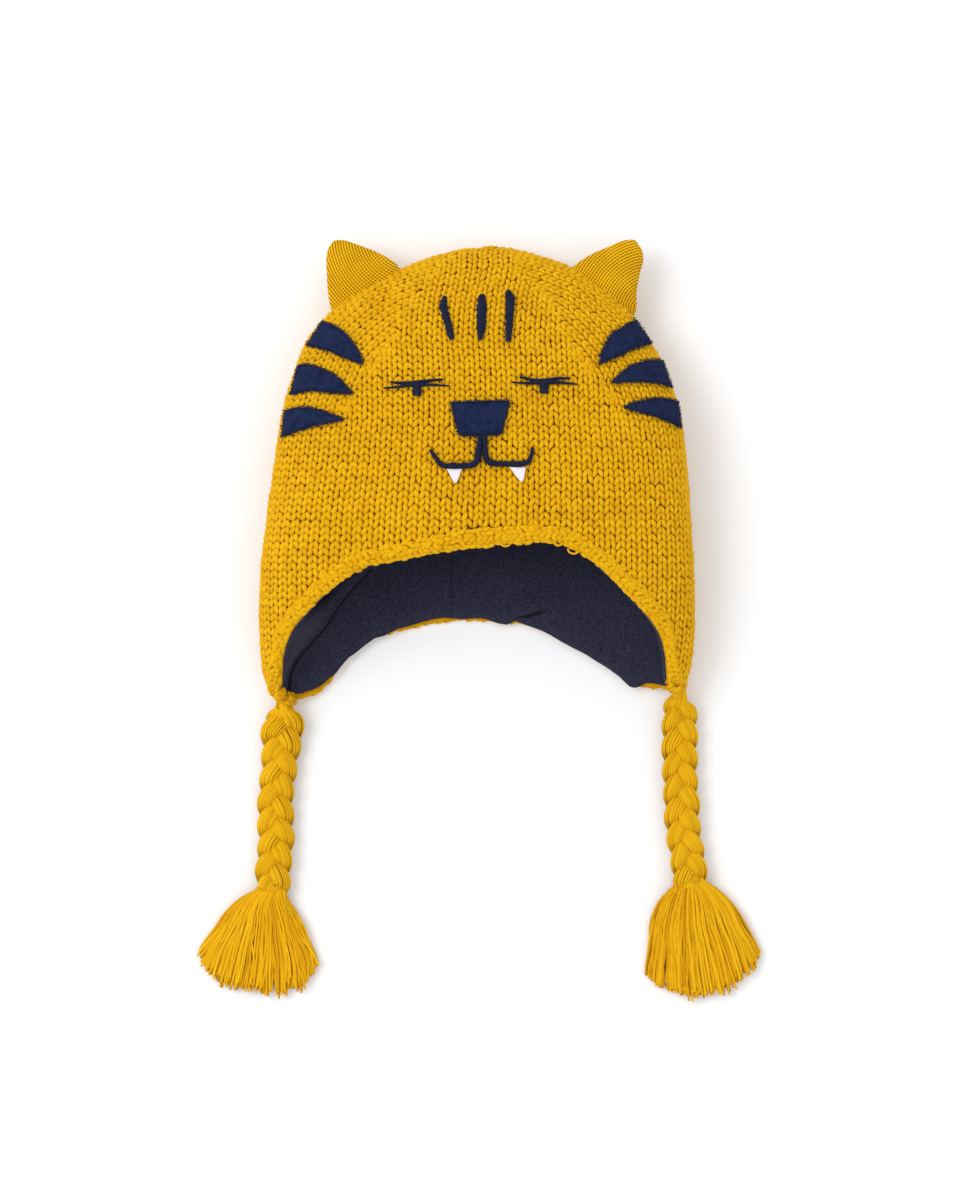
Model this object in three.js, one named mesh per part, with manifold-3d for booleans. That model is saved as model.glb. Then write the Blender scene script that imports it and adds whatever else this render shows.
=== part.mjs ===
// Child's knitted earflap hat with a tiger's face, lightly stuffed and lying on its back.
// Millimetres. X runs across the hat, +Y points to the crown, +Z points up from the surface under it.
import * as THREE from "three";
import Module from "manifold-3d";

const wasm = await Module();
wasm.setup();

// Driving sizes of the hat
const CROWN_Y = 111.5;
const KNIT_WALL = 3;
const LINING_WALL = 2;
const LINING_GAP = 0.5;
const GAP = 0.3;
const BAND_WIDTH = 6;
const BAND_EXTRA_AT_FRONT = 3;
const BAND_PROUD = 0.7;
const BAND_GROOVE = 0.8;
const CROWN_FADE = 45;
// The edge's slope is measured over these degrees to each side, and limited
const EDGE_SMOOTHING = 6;
const STEEPEST_EDGE = 3;
// Powers of the curves that the front and the back of a section follow
const FRONT_POWER = 2.3;
const BACK_POWER = 3;
const COLUMNS = 36;
const ROWS = 10;
const BAND_ROWS = 2;
const FACE_LIFT = 0.6;
const FELT = 1.2;
const STITCH_HEIGHT = 1.2;

// Soft fold of the lining, by degrees round the hat and stations along it
const LINING_FOLD = { angle: 205, spread: 13, height: 5, startY: -112, endY: -30, ramp: 25 };

// Outline of the lying hat, a row for each station down from the crown:
// its left and right edge, and the heights of the side fold, the front and the back
const SECTIONS = [
  { y: 111.5, left: 7, right: 7, fold: 14, front: 14, back: 14 },
  { y: 108, left: -18, right: 28, fold: 15, front: 22.5, back: 8 },
  { y: 102, left: -35, right: 45, fold: 16.5, front: 29.5, back: 4 },
  { y: 95, left: -51.5, right: 59, fold: 18, front: 35, back: 1.5 },
  { y: 85, left: -66.5, right: 70, fold: 20, front: 41, back: 0 },
  { y: 75, left: -77.5, right: 79, fold: 21.5, front: 46, back: -0.8 },
  { y: 64, left: -86, right: 86.5, fold: 22.5, front: 50, back: -1.2 },
  { y: 52, left: -91, right: 93, fold: 23.5, front: 53.5, back: -1.4 },
  { y: 28, left: -98, right: 101, fold: 25, front: 58, back: -1.5 },
  { y: -2, left: -102.5, right: 105, fold: 26, front: 61, back: -1.5 },
  { y: -26, left: -106, right: 106.5, fold: 26, front: 62, back: -1.5 },
  { y: -50, left: -108.5, right: 108, fold: 25, front: 60, back: -1.5 },
  { y: -74, left: -109.5, right: 108.5, fold: 22, front: 54, back: -1.5 },
  { y: -98, left: -108.5, right: 107, fold: 17, front: 43, back: -1.5 },
  { y: -110, left: -105, right: 103, fold: 12.5, front: 31, back: -1 },
  { y: -118, left: -99.5, right: 99, fold: 9.5, front: 21, back: 0 },
];

// Lower edge of the hat by degrees round it: 0 is the right fold, 90 the front, 180 the left fold
const RIM = [
  { angle: 0, y: -111.5 },
  { angle: 10, y: -111 },
  { angle: 20, y: -109 },
  { angle: 25, y: -105 },
  { angle: 30, y: -95 },
  { angle: 35, y: -85 },
  { angle: 40, y: -77 },
  { angle: 50, y: -63 },
  { angle: 60, y: -49 },
  { angle: 70, y: -41 },
  { angle: 80, y: -38 },
  { angle: 90, y: -39.5 },
  { angle: 100, y: -43 },
  { angle: 110, y: -46.5 },
  { angle: 120, y: -50.5 },
  { angle: 130, y: -62 },
  { angle: 140, y: -74 },
  { angle: 150, y: -87 },
  { angle: 155, y: -96 },
  { angle: 160, y: -107 },
  { angle: 170, y: -114.5 },
  { angle: 180, y: -116.5 },
  { angle: 190, y: -115.5 },
  { angle: 200, y: -114 },
  { angle: 210, y: -112.5 },
  { angle: 220, y: -110.5 },
  { angle: 230, y: -106 },
  { angle: 240, y: -95.5 },
  { angle: 250, y: -84.5 },
  { angle: 260, y: -77 },
  { angle: 270, y: -74 },
  { angle: 280, y: -80 },
  { angle: 290, y: -91 },
  { angle: 300, y: -100.5 },
  { angle: 310, y: -106 },
  { angle: 320, y: -108 },
  { angle: 340, y: -110 },
  { angle: 360, y: -111.5 },
];

// Cheek stripes from the outer end to the tip: a point of the upper edge and one of the lower
const CHEEK_STRIPES = {
  left_1: [
    { upperX: -77, upperY: 73, lowerX: -84.5, lowerY: 61.5 },
    { upperX: -71, upperY: 70.5, lowerX: -73, lowerY: 58 },
    { upperX: -64.5, upperY: 65.5, lowerX: -64.5, lowerY: 54 },
    { upperX: -59.5, upperY: 58.5, lowerX: -60, lowerY: 52.5 },
    { upperX: -56.5, upperY: 51.5, lowerX: -56.5, lowerY: 51.5 },
  ],
  left_2: [
    { upperX: -88.5, upperY: 51.5, lowerX: -92.5, lowerY: 37 },
    { upperX: -82, upperY: 51, lowerX: -81.5, lowerY: 38.5 },
    { upperX: -73.5, upperY: 47.5, lowerX: -73.5, lowerY: 37.5 },
    { upperX: -67.5, upperY: 43.5, lowerX: -67.5, lowerY: 37 },
    { upperX: -61.5, upperY: 36.5, lowerX: -61.5, lowerY: 36.5 },
  ],
  left_3: [
    { upperX: -95, upperY: 29, lowerX: -96.5, lowerY: 16 },
    { upperX: -85, upperY: 30, lowerX: -83, lowerY: 20.5 },
    { upperX: -75.5, upperY: 28, lowerX: -75, lowerY: 22 },
    { upperX: -66, upperY: 24, lowerX: -66, lowerY: 24 },
  ],
  right_1: [
    { upperX: 78, upperY: 74, lowerX: 85.5, lowerY: 62.5 },
    { upperX: 71.5, upperY: 70, lowerX: 76, lowerY: 59 },
    { upperX: 66, upperY: 66, lowerX: 69, lowerY: 55.5 },
    { upperX: 62, upperY: 59.5, lowerX: 63.5, lowerY: 53 },
    { upperX: 59.5, upperY: 51, lowerX: 59.5, lowerY: 51 },
  ],
  right_2: [
    { upperX: 91, upperY: 54, lowerX: 95.5, lowerY: 40.5 },
    { upperX: 82, upperY: 53, lowerX: 88, lowerY: 42.5 },
    { upperX: 74.5, upperY: 50, lowerX: 79.5, lowerY: 43 },
    { upperX: 69, upperY: 45.5, lowerX: 72, lowerY: 42.5 },
    { upperX: 65.5, upperY: 42, lowerX: 65.5, lowerY: 42 },
  ],
  right_3: [
    { upperX: 98.5, upperY: 33.5, lowerX: 100, lowerY: 20.5 },
    { upperX: 91, upperY: 34.5, lowerX: 93.5, lowerY: 23.5 },
    { upperX: 84.5, upperY: 34, lowerX: 85, lowerY: 26.5 },
    { upperX: 76, upperY: 32, lowerX: 78.5, lowerY: 28 },
    { upperX: 71.5, upperY: 30, lowerX: 71.5, lowerY: 30 },
  ],
};

const NOSE = [
  { upperX: -13.2, upperY: 31.8, lowerX: -9.8, lowerY: 17.6 },
  { upperX: -9, upperY: 32.2, lowerX: -7.2, lowerY: 15.8 },
  { upperX: 10.5, upperY: 32.8, lowerX: 9.6, lowerY: 16.2 },
  { upperX: 15.4, upperY: 32.8, lowerX: 11.6, lowerY: 17.8 },
];

const FANGS = {
  left: [
    { upperX: -15.4, upperY: -0.7, lowerX: -15.2, lowerY: -1 },
    { upperX: -11, upperY: -0.7, lowerX: -11, lowerY: -7.7 },
    { upperX: -7.7, upperY: -0.7, lowerX: -7.9, lowerY: -1 },
  ],
  right: [
    { upperX: 15.4, upperY: 0.2, lowerX: 15.6, lowerY: -0.1 },
    { upperX: 21.3, upperY: 0.2, lowerX: 21.5, lowerY: -7.1 },
    { upperX: 23.6, upperY: 0.2, lowerX: 23.4, lowerY: -0.1 },
  ],
};

// Satin-stitched lines of the face, a row for each point of a line with its width there
const FOREHEAD_BARS = [
  [
    { x: -16.5, y: 84, width: 1.5 },
    { x: -17, y: 80, width: 4 },
    { x: -14.5, y: 70, width: 3.8 },
    { x: -12.5, y: 62, width: 1.5 },
  ],
  [
    { x: 2, y: 85, width: 1.8 },
    { x: 2, y: 79, width: 4.2 },
    { x: 1.5, y: 69, width: 4 },
    { x: 1.2, y: 62.3, width: 1.8 },
  ],
  [
    { x: 15, y: 87, width: 1.5 },
    { x: 17, y: 80, width: 4 },
    { x: 16.5, y: 70, width: 3.8 },
    { x: 15, y: 61, width: 1.5 },
  ],
];

const EYES = {
  left: {
    lash: [
      { x: -42.7, y: 42.1, width: 0.9 },
      { x: -35.8, y: 41.7, width: 1.5 },
      { x: -29.9, y: 42.1, width: 1.6 },
      { x: -23.6, y: 43, width: 1.3 },
      { x: -17.2, y: 43.4, width: 0.9 },
    ],
    lid: [
      { x: -46.2, y: 39.2, width: 0.6 },
      { x: -38.3, y: 39.9, width: 1.2 },
      { x: -33.4, y: 40.9, width: 1.8 },
      { x: -28.5, y: 40.9, width: 1.8 },
      { x: -23.6, y: 40.8, width: 1.3 },
      { x: -14.2, y: 40.2, width: 0.6 },
    ],
    pupil: [
      { x: -29.9, y: 41.4, width: 2.8 },
      { x: -29.9, y: 39.5, width: 3.2 },
      { x: -29.9, y: 37.6, width: 4.2 },
      { x: -29.9, y: 34.8, width: 1.4 },
    ],
  },
  right: {
    lash: [
      { x: 20.7, y: 44.6, width: 0.9 },
      { x: 28.5, y: 43, width: 1.5 },
      { x: 34.9, y: 43.3, width: 1.6 },
      { x: 38.8, y: 44, width: 1.3 },
      { x: 45.2, y: 44.1, width: 0.9 },
    ],
    lid: [
      { x: 16.7, y: 41.9, width: 0.6 },
      { x: 24.6, y: 41.6, width: 1.2 },
      { x: 29.5, y: 42.1, width: 1.8 },
      { x: 35.4, y: 42.1, width: 1.8 },
      { x: 40.3, y: 42, width: 1.3 },
      { x: 48.7, y: 41.1, width: 0.6 },
    ],
    pupil: [
      { x: 32.4, y: 42.5, width: 3 },
      { x: 32.4, y: 40.5, width: 3.8 },
      { x: 32.4, y: 38.4, width: 3.6 },
      { x: 32.4, y: 35.7, width: 1.4 },
    ],
  },
};

const MOUTH = {
  left: [
    { x: 1.2, y: 14.9, width: 2.3 },
    { x: 0.4, y: 8.7, width: 2.6 },
    { x: -0.2, y: 4.3, width: 2.8 },
    { x: -2, y: 1.6, width: 2.6 },
    { x: -6, y: 0.9, width: 2.4 },
    { x: -12.8, y: 0.9, width: 2.3 },
    { x: -16.7, y: 0.8, width: 2.2 },
    { x: -19.2, y: 2.4, width: 2 },
    { x: -20.8, y: 4.9, width: 1.8 },
    { x: -23.4, y: 8.7, width: 1.6 },
  ],
  right: [
    { x: 3.2, y: 14.9, width: 2.3 },
    { x: 3.4, y: 10.2, width: 2.4 },
    { x: 3.9, y: 5, width: 2.5 },
    { x: 5.7, y: 2.5, width: 2.5 },
    { x: 8.6, y: 1.9, width: 2.4 },
    { x: 14.8, y: 1.8, width: 2.3 },
    { x: 21.6, y: 1.8, width: 2.2 },
    { x: 25, y: 3.3, width: 2 },
    { x: 26.2, y: 6, width: 1.7 },
    { x: 26.8, y: 9.7, width: 1.5 },
  ],
};

// Padded ears from the base to the tip: the two edges of each cross-section and its thickness
const EAR_Z = 20;
const EAR_SIDES = 12;
const EARS = {
  left: [
    { outerX: -68, outerY: 68, innerX: -34, innerY: 95, thick: 12 },
    { outerX: -73.5, outerY: 80, innerX: -42.5, innerY: 103, thick: 12 },
    { outerX: -75.5, outerY: 90, innerX: -50, innerY: 108.5, thick: 11 },
    { outerX: -76, outerY: 99, innerX: -56.5, innerY: 111.5, thick: 10 },
    { outerX: -76.2, outerY: 106.5, innerX: -62.5, innerY: 113.5, thick: 8.5 },
    { outerX: -75.5, outerY: 111.5, innerX: -67.5, innerY: 115, thick: 6.5 },
    { outerX: -73.8, outerY: 114.3, innerX: -71, innerY: 115.4, thick: 3.5 },
  ],
  right: [
    { outerX: 72, outerY: 66, innerX: 40, innerY: 94, thick: 12 },
    { outerX: 79.5, outerY: 80, innerX: 50, innerY: 103, thick: 12 },
    { outerX: 79.5, outerY: 89.5, innerX: 58, innerY: 108, thick: 11 },
    { outerX: 81, outerY: 98, innerX: 64, innerY: 110.5, thick: 10 },
    { outerX: 82.8, outerY: 106, innerX: 70, innerY: 113.3, thick: 8.5 },
    { outerX: 82, outerY: 111.5, innerX: 74, innerY: 114.8, thick: 6.5 },
    { outerX: 80, outerY: 114.5, innerX: 77.5, innerY: 115.3, thick: 3.5 },
  ],
};

// Centre lines of the plaits, from the tip of each flap to the binding
const PLAIT_ROUTES = {
  left: [
    { x: -98, y: -119.3, z: 8.3 },
    { x: -97.6, y: -125, z: 7.2 },
    { x: -98.6, y: -134, z: 6.5 },
    { x: -99.5, y: -144, z: 6.5 },
    { x: -100.5, y: -154, z: 6.5 },
    { x: -101.6, y: -164, z: 6.5 },
    { x: -101.8, y: -176, z: 6.5 },
    { x: -101.6, y: -188, z: 6.5 },
    { x: -102.8, y: -200, z: 6.5 },
    { x: -104.2, y: -210.5, z: 6.5 },
  ],
  right: [
    { x: 101.2, y: -114.3, z: 8.3 },
    { x: 100.8, y: -120, z: 7.2 },
    { x: 100.2, y: -132, z: 6.5 },
    { x: 100.3, y: -144, z: 6.5 },
    { x: 100.6, y: -156, z: 6.5 },
    { x: 101.2, y: -168, z: 6.5 },
    { x: 102.1, y: -182, z: 6.5 },
    { x: 104.2, y: -194, z: 6.5 },
    { x: 106.2, y: -204, z: 6.5 },
    { x: 107, y: -208.5, z: 6.5 },
  ],
};
const PLAIT_PITCH = 34.5;
const STRAND_RADIUS = 4.1;
const STRAND_SWING = 5.1;
const STRAND_RISE = 2.1;
const STRAND_SIDES = 7;
const STRAND_STEPS = 20;
const PLAIT_TRIM = 2;
// The strands close up over this length at each end of a plait, and start a little swung out
const GATHER_LENGTH = 12;
const GATHER_START = 3;

const BINDING_LENGTH = 3.6;
const BINDING_RADIUS = 5.8;
const BINDING_SIDES = 14;
const BINDING_EDGE = 0.8;
const BINDING_FLAT = 0.4;

// Locks of a tassel: how far across the skirt a lock lies, from -1 to 1, its length, and the
// height of its middle over the surface
const TASSEL_LOCKS = [
  { across: -1, length: 37, lie: 3.2 },
  { across: -0.7, length: 43, lie: 3.2 },
  { across: -0.36, length: 48, lie: 3.2 },
  { across: 0, length: 50, lie: 3.2 },
  { across: 0.36, length: 48, lie: 3.2 },
  { across: 0.7, length: 43, lie: 3.2 },
  { across: 1, length: 36, lie: 3.2 },
  { across: -0.5, length: 41, lie: 7.5 },
  { across: 0, length: 46, lie: 8.5 },
  { across: 0.5, length: 41, lie: 7.5 },
];
const TASSELS = {
  left: { x: -105, y: -215, lean: -5 },
  right: { x: 107.5, y: -213, lean: 1 },
};
const TASSEL_HEAD = { width: 14, length: 10.5, height: 13.3, below: 2.8 };
const SKIRT_HALF_WIDTH = 25;
const SKIRT_FLARE = 11;
const LOCK_WIDTH = 10;
const LOCK_HEIGHT = 6.4;
const LOCK_STEPS = 4;
const LOCK_SIDES = 6;
const LOCK_START_Z = 6.5;
const LOCK_SETTLE = 15;
const LOCK_ENDS = 0.7;
const LOCK_THINNING = 0.25;

const knitYarn = new THREE.MeshStandardMaterial({ color: 0xd7a014, roughness: 0.9, metalness: 0 });
const earKnit = new THREE.MeshStandardMaterial({ color: 0xd39c10, roughness: 0.9, metalness: 0 });
const plaitYarn = new THREE.MeshStandardMaterial({ color: 0xdda31a, roughness: 0.88, metalness: 0 });
const fleece = new THREE.MeshStandardMaterial({ color: 0x252537, roughness: 1, metalness: 0 });
const navyFelt = new THREE.MeshStandardMaterial({ color: 0x232f4c, roughness: 0.92, metalness: 0 });
const navyThread = new THREE.MeshStandardMaterial({ color: 0x1c2641, roughness: 0.6, metalness: 0 });
const whiteFelt = new THREE.MeshStandardMaterial({ color: 0xebe2e9, roughness: 0.92, metalness: 0 });

const hat = new THREE.Group();

function addPiece(name, geometry, material) {
  const mesh = new THREE.Mesh(geometry, material);
  mesh.name = name;
  hat.add(mesh);
}

// Smooth value of one column of a table, at a place along the table's key column
function valueAt(rows, key, column, at) {
  const last = rows.length - 1;
  let i = 0;
  while (i < last - 1 && at > rows[i + 1][key]) i += 1;
  const slope = (a, b) => (rows[b][column] - rows[a][column]) / (rows[b][key] - rows[a][key]);
  const span = rows[i + 1][key] - rows[i][key];
  const t = (at - rows[i][key]) / span;
  const startSlope = i > 0 ? slope(i - 1, i + 1) : slope(0, 1);
  const endSlope = i < last - 1 ? slope(i, i + 2) : slope(last - 1, last);
  const blend = t * t * (3 - 2 * t);
  const start = t * (1 - t) * (1 - t) * span * startSlope;
  const end = t * t * (t - 1) * span * endSlope;
  return rows[i][column] * (1 - blend) + rows[i + 1][column] * blend + start + end;
}

// The outline opens like a parabola under the crown, so it is smooth in the root of the distance
const stations = SECTIONS.map((row) => ({ ...row, reach: Math.sqrt(CROWN_Y - row.y) }));

// Section of the wall at a station. An inset surface starts lower at the crown and is narrower below it.
function sectionAt(y, inset) {
  const depth = Math.max(CROWN_Y - inset - y, 0);
  const fade = THREE.MathUtils.smoothstep(depth, 0, CROWN_FADE);
  const reach = Math.sqrt(Math.max(depth + inset * fade, 0));
  const narrowing = inset * fade;
  const left = valueAt(stations, "reach", "left", reach) + narrowing;
  const right = valueAt(stations, "reach", "right", reach) - narrowing;
  return {
    middle: (left + right) / 2,
    half: (right - left) / 2,
    fold: valueAt(stations, "reach", "fold", reach),
    front: valueAt(stations, "reach", "front", reach) - narrowing,
    back: valueAt(stations, "reach", "back", reach) + narrowing,
  };
}

// Point of the wall at an angle round the hat, as deep in the wall as the inset says
function wallPoint(angle, y, inset) {
  const { middle, half, fold, front, back } = sectionAt(y, inset);
  const across = Math.cos(angle);
  const up = Math.sin(angle);
  const power = 2 / (up >= 0 ? FRONT_POWER : BACK_POWER);
  const rise = up >= 0 ? front - fold : fold - back;
  const x = middle + half * Math.sign(across) * Math.abs(across) ** power;
  const z = fold + rise * Math.sign(up) * Math.abs(up) ** power;
  return new THREE.Vector3(x, y, Math.max(z, inset, 0));
}

function rimY(angle) {
  const degrees = THREE.MathUtils.euclideanModulo(THREE.MathUtils.radToDeg(angle), 360);
  return valueAt(RIM, "angle", "y", degrees);
}

// Station of a line that runs in from the edge by a distance, measured square to the edge
function inFromRim(angle, distance) {
  const step = THREE.MathUtils.degToRad(EDGE_SMOOTHING);
  const edge = rimY(angle);
  const stretch = wallPoint(angle + step, edge, 0).distanceTo(wallPoint(angle - step, edge, 0));
  const slope = (rimY(angle + step) - rimY(angle - step)) / stretch;
  return edge + distance * Math.min(Math.hypot(1, slope), STEEPEST_EDGE);
}

const bandWidth = (angle) => BAND_WIDTH + BAND_EXTRA_AT_FRONT * Math.max(0, Math.sin(angle)) ** 4;

// Point on the hat's front, lifted off the knit along its normal
function facePoint(x, y, lift) {
  const heightAt = (px, py) => {
    const { middle, half, fold, front } = sectionAt(py, 0);
    const across = Math.min(Math.abs(px - middle) / half, 0.999);
    return fold + (front - fold) * (1 - across ** FRONT_POWER) ** (1 / FRONT_POWER);
  };
  const z = heightAt(x, y);
  const step = 0.5;
  const slopeX = (heightAt(x + step, y) - heightAt(x - step, y)) / (2 * step);
  const slopeY = (heightAt(x, y + step) - heightAt(x, y - step)) / (2 * step);
  const normal = new THREE.Vector3(-slopeX, -slopeY, 1).normalize();
  return new THREE.Vector3(x, y, z).addScaledVector(normal, lift);
}

// Triangles over shared points, with those that have no area left out
class Skin {
  constructor() {
    this.points = [];
    this.faces = [];
    this.indexOf = new Map();
  }

  index(point) {
    const key = point.toArray().map((value) => value.toFixed(4)).join(" ");
    if (!this.indexOf.has(key)) {
      this.indexOf.set(key, this.points.length / 3);
      this.points.push(...point.toArray());
    }
    return this.indexOf.get(key);
  }

  triangle(a, b, c) {
    const corners = [this.index(a), this.index(b), this.index(c)];
    if (new Set(corners).size === 3) this.faces.push(...corners);
  }

  quad(a, b, c, d) {
    this.triangle(a, b, c);
    this.triangle(a, c, d);
  }

  // Rows of points joined into a sheet: round says that each row closes on itself, and flipped
  // that it faces the other way, with its quads cut along the same diagonals
  sheet(rows, round, flipped = false) {
    const width = rows[0].length;
    const cells = round ? width : width - 1;
    for (let i = 0; i < rows.length - 1; i += 1) {
      for (let j = 0; j < cells; j += 1) {
        const k = (j + 1) % width;
        const [a, b, c, d] = [rows[i][j], rows[i + 1][j], rows[i + 1][k], rows[i][k]];
        if (flipped) this.quad(a, d, c, b);
        else this.quad(a, b, c, d);
      }
    }
  }

  // Closed geometry with its faces turned outwards
  geometry() {
    const at = (i) => new THREE.Vector3().fromArray(this.points, i * 3);
    let volume = 0;
    for (let i = 0; i < this.faces.length; i += 3) {
      const [a, b, c] = this.faces.slice(i, i + 3).map(at);
      volume += a.dot(b.cross(c));
    }
    if (volume < 0) this.faces.reverse();
    const geometry = new THREE.BufferGeometry();
    geometry.setAttribute("position", new THREE.Float32BufferAttribute(this.points, 3));
    geometry.setIndex(this.faces);
    return geometry;
  }
}

// Closed slab between an upper and a lower grid of points
function slab(upper, lower) {
  const skin = new Skin();
  skin.sheet(upper, false);
  skin.sheet(lower, false, true);
  const columnOf = (grid, j) => grid.map((row) => row[j]);
  const lastRow = upper.length - 1;
  const lastColumn = upper[0].length - 1;
  skin.sheet([lower[0], upper[0]], false);
  skin.sheet([upper[lastRow], lower[lastRow]], false);
  skin.sheet([columnOf(upper, 0), columnOf(lower, 0)], false);
  skin.sheet([columnOf(lower, lastColumn), columnOf(upper, lastColumn)], false);
  return skin.geometry();
}

// Places round the hat on rings that run from the crown to the lower end of the shell
function crownPlaces(inset) {
  return Array.from({ length: ROWS + 1 }, (_, i) =>
    Array.from({ length: COLUMNS }, (__, j) => {
      const angle = (2 * Math.PI * j) / COLUMNS;
      const end = inFromRim(angle, bandWidth(angle) + BAND_GROOVE);
      return { angle, y: THREE.MathUtils.lerp(CROWN_Y - inset, end, (i / ROWS) ** 2) };
    }),
  );
}

// Places on rings over the band, down to the edge
function bandPlaces() {
  return Array.from({ length: BAND_ROWS + 1 }, (_, i) =>
    Array.from({ length: COLUMNS }, (__, j) => {
      const angle = (2 * Math.PI * j) / COLUMNS;
      return { angle, y: inFromRim(angle, bandWidth(angle) * (1 - i / BAND_ROWS)) };
    }),
  );
}

// Wall between two insets over rings of places; open says that its upper end has an edge too
function wall(outerPlaces, outer, innerPlaces, inner, open, bulge = () => 0) {
  const ringsAt = (places, inset) =>
    places.map((ring) => ring.map(({ angle, y }) => wallPoint(angle, y, inset + bulge(angle, y))));
  const outside = ringsAt(outerPlaces, outer);
  const inside = ringsAt(innerPlaces, inner);
  const last = outside.length - 1;
  const skin = new Skin();
  skin.sheet(outside, true);
  skin.sheet(inside, true, true);
  skin.sheet([outside[last], inside[last]], true);
  if (open) skin.sheet([inside[0], outside[0]], true);
  return skin.geometry();
}

// Tube over rings of points, closed flat at both ends
function closedTube(rings) {
  const skin = new Skin();
  skin.sheet(rings, true);
  const first = rings[0];
  const last = rings[rings.length - 1];
  for (let j = 1; j < first.length - 1; j += 1) {
    skin.triangle(first[0], first[j], first[j + 1]);
    skin.triangle(last[0], last[j + 1], last[j]);
  }
  return skin.geometry();
}

// Closed geometry from the loose triangles of another
function weld(loose) {
  const skin = new Skin();
  const corner = (i) => new THREE.Vector3().fromBufferAttribute(loose.attributes.position, i);
  for (let i = 0; i < loose.attributes.position.count; i += 3) {
    skin.triangle(corner(i), corner(i + 1), corner(i + 2));
  }
  return skin.geometry();
}

function toSolid(geometry) {
  const vertProperties = geometry.attributes.position.array;
  const triVerts = new Uint32Array(geometry.index.array);
  return new wasm.Manifold(new wasm.Mesh({ numProp: 3, vertProperties, triVerts }));
}

function toGeometry(solid) {
  const mesh = solid.getMesh();
  const geometry = new THREE.BufferGeometry();
  geometry.setAttribute("position", new THREE.BufferAttribute(mesh.vertProperties, 3));
  geometry.setIndex(new THREE.BufferAttribute(mesh.triVerts, 1));
  return geometry;
}

function joined(geometries) {
  return toGeometry(wasm.Manifold.union(geometries.map(toSolid)));
}

// Points along a table of points, as a smooth curve cut into even steps
function smoothPoints(points, steps) {
  return new THREE.CatmullRomCurve3(points).getPoints(steps);
}

// Felt piece sewn to the front, from rows that cross it
function feltPiece(rows, steps, across) {
  const toVector = (x, y) => new THREE.Vector3(x, y, 0);
  const upperEdge = smoothPoints(rows.map((row) => toVector(row.upperX, row.upperY)), steps);
  const lowerEdge = smoothPoints(rows.map((row) => toVector(row.lowerX, row.lowerY)), steps);
  const grid = (lift) =>
    upperEdge.map((start, i) =>
      Array.from({ length: across + 1 }, (_, j) => {
        const point = start.clone().lerp(lowerEdge[i], j / across);
        return facePoint(point.x, point.y, lift);
      }),
    );
  return slab(grid(FACE_LIFT + FELT), grid(FACE_LIFT));
}

// Raised satin-stitched line on the front, with the widths of its rows
function stitchedLine(rows, steps) {
  const centre = smoothPoints(rows.map((row) => new THREE.Vector3(row.x, row.y, row.width)), steps);
  const grid = (edgeLift, middleLift) =>
    centre.map((point, i) => {
      const before = centre[Math.max(i - 1, 0)];
      const after = centre[Math.min(i + 1, centre.length - 1)];
      const along = new THREE.Vector2(after.x - before.x, after.y - before.y).normalize();
      return [-0.5, 0, 0.5].map((side) => {
        const reach = side * point.z;
        const lift = side === 0 ? middleLift : edgeLift;
        return facePoint(point.x - along.y * reach, point.y + along.x * reach, lift);
      });
    });
  return slab(grid(FACE_LIFT + STITCH_HEIGHT / 2, FACE_LIFT + STITCH_HEIGHT), grid(FACE_LIFT, FACE_LIFT));
}

// The lining stands off the knit in a soft fold that runs up from the left flap
function liningBulge(angle, y) {
  const { angle: middle, spread, height, startY, endY, ramp } = LINING_FOLD;
  const off = (THREE.MathUtils.radToDeg(angle) - middle) / spread;
  const rise = THREE.MathUtils.smoothstep(y, startY, startY + ramp);
  const fall = 1 - THREE.MathUtils.smoothstep(y, endY - ramp, endY);
  return height * Math.exp(-off * off) * rise * fall;
}

const liningOuter = KNIT_WALL + LINING_GAP;
const liningInner = liningOuter + LINING_WALL;
const liningPlaces = (inset) => [...crownPlaces(inset), ...bandPlaces()];

const shell = wall(crownPlaces(0), 0, crownPlaces(KNIT_WALL), KNIT_WALL, false);
const band = wall(bandPlaces(), -BAND_PROUD, bandPlaces(), KNIT_WALL, true);
const lining = wall(
  liningPlaces(liningOuter),
  liningOuter,
  liningPlaces(liningInner),
  liningInner,
  false,
  liningBulge,
);
addPiece("knit_shell", shell, knitYarn);
addPiece("rim_band", band, knitYarn);
addPiece("fleece_lining", lining, fleece);

// Solid form of the hat's crown, which the ears are cut to
function crownForm() {
  const rings = crownPlaces(-GAP).map((ring) => ring.map(({ angle, y }) => wallPoint(angle, y, -GAP)));
  const skin = new Skin();
  skin.sheet(rings, true);
  const lowest = rings[ROWS];
  const centre = lowest.reduce((sum, point) => sum.add(point), new THREE.Vector3());
  centre.divideScalar(COLUMNS);
  lowest.forEach((point, j) => skin.triangle(lowest[(j + 1) % COLUMNS], point, centre));
  return toSolid(skin.geometry());
}

// Padded ears, cut to the crown that they are sewn to
const crown = crownForm();
for (const [side, rows] of Object.entries(EARS)) {
  const rings = rows.map((row) => {
    const outer = new THREE.Vector3(row.outerX, row.outerY, EAR_Z);
    const inner = new THREE.Vector3(row.innerX, row.innerY, EAR_Z);
    return Array.from({ length: EAR_SIDES }, (_, j) => {
      const angle = (2 * Math.PI * j) / EAR_SIDES;
      const point = outer.clone().lerp(inner, 0.5 - 0.5 * Math.cos(angle));
      point.z += (row.thick / 2) * Math.sin(angle);
      return point;
    });
  });
  const pieces = toSolid(closedTube(rings)).subtract(crown).decompose();
  const largest = pieces.reduce((a, b) => (a.volume() > b.volume() ? a : b));
  addPiece(`ear_${side}`, toGeometry(largest), earKnit);
}

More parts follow.
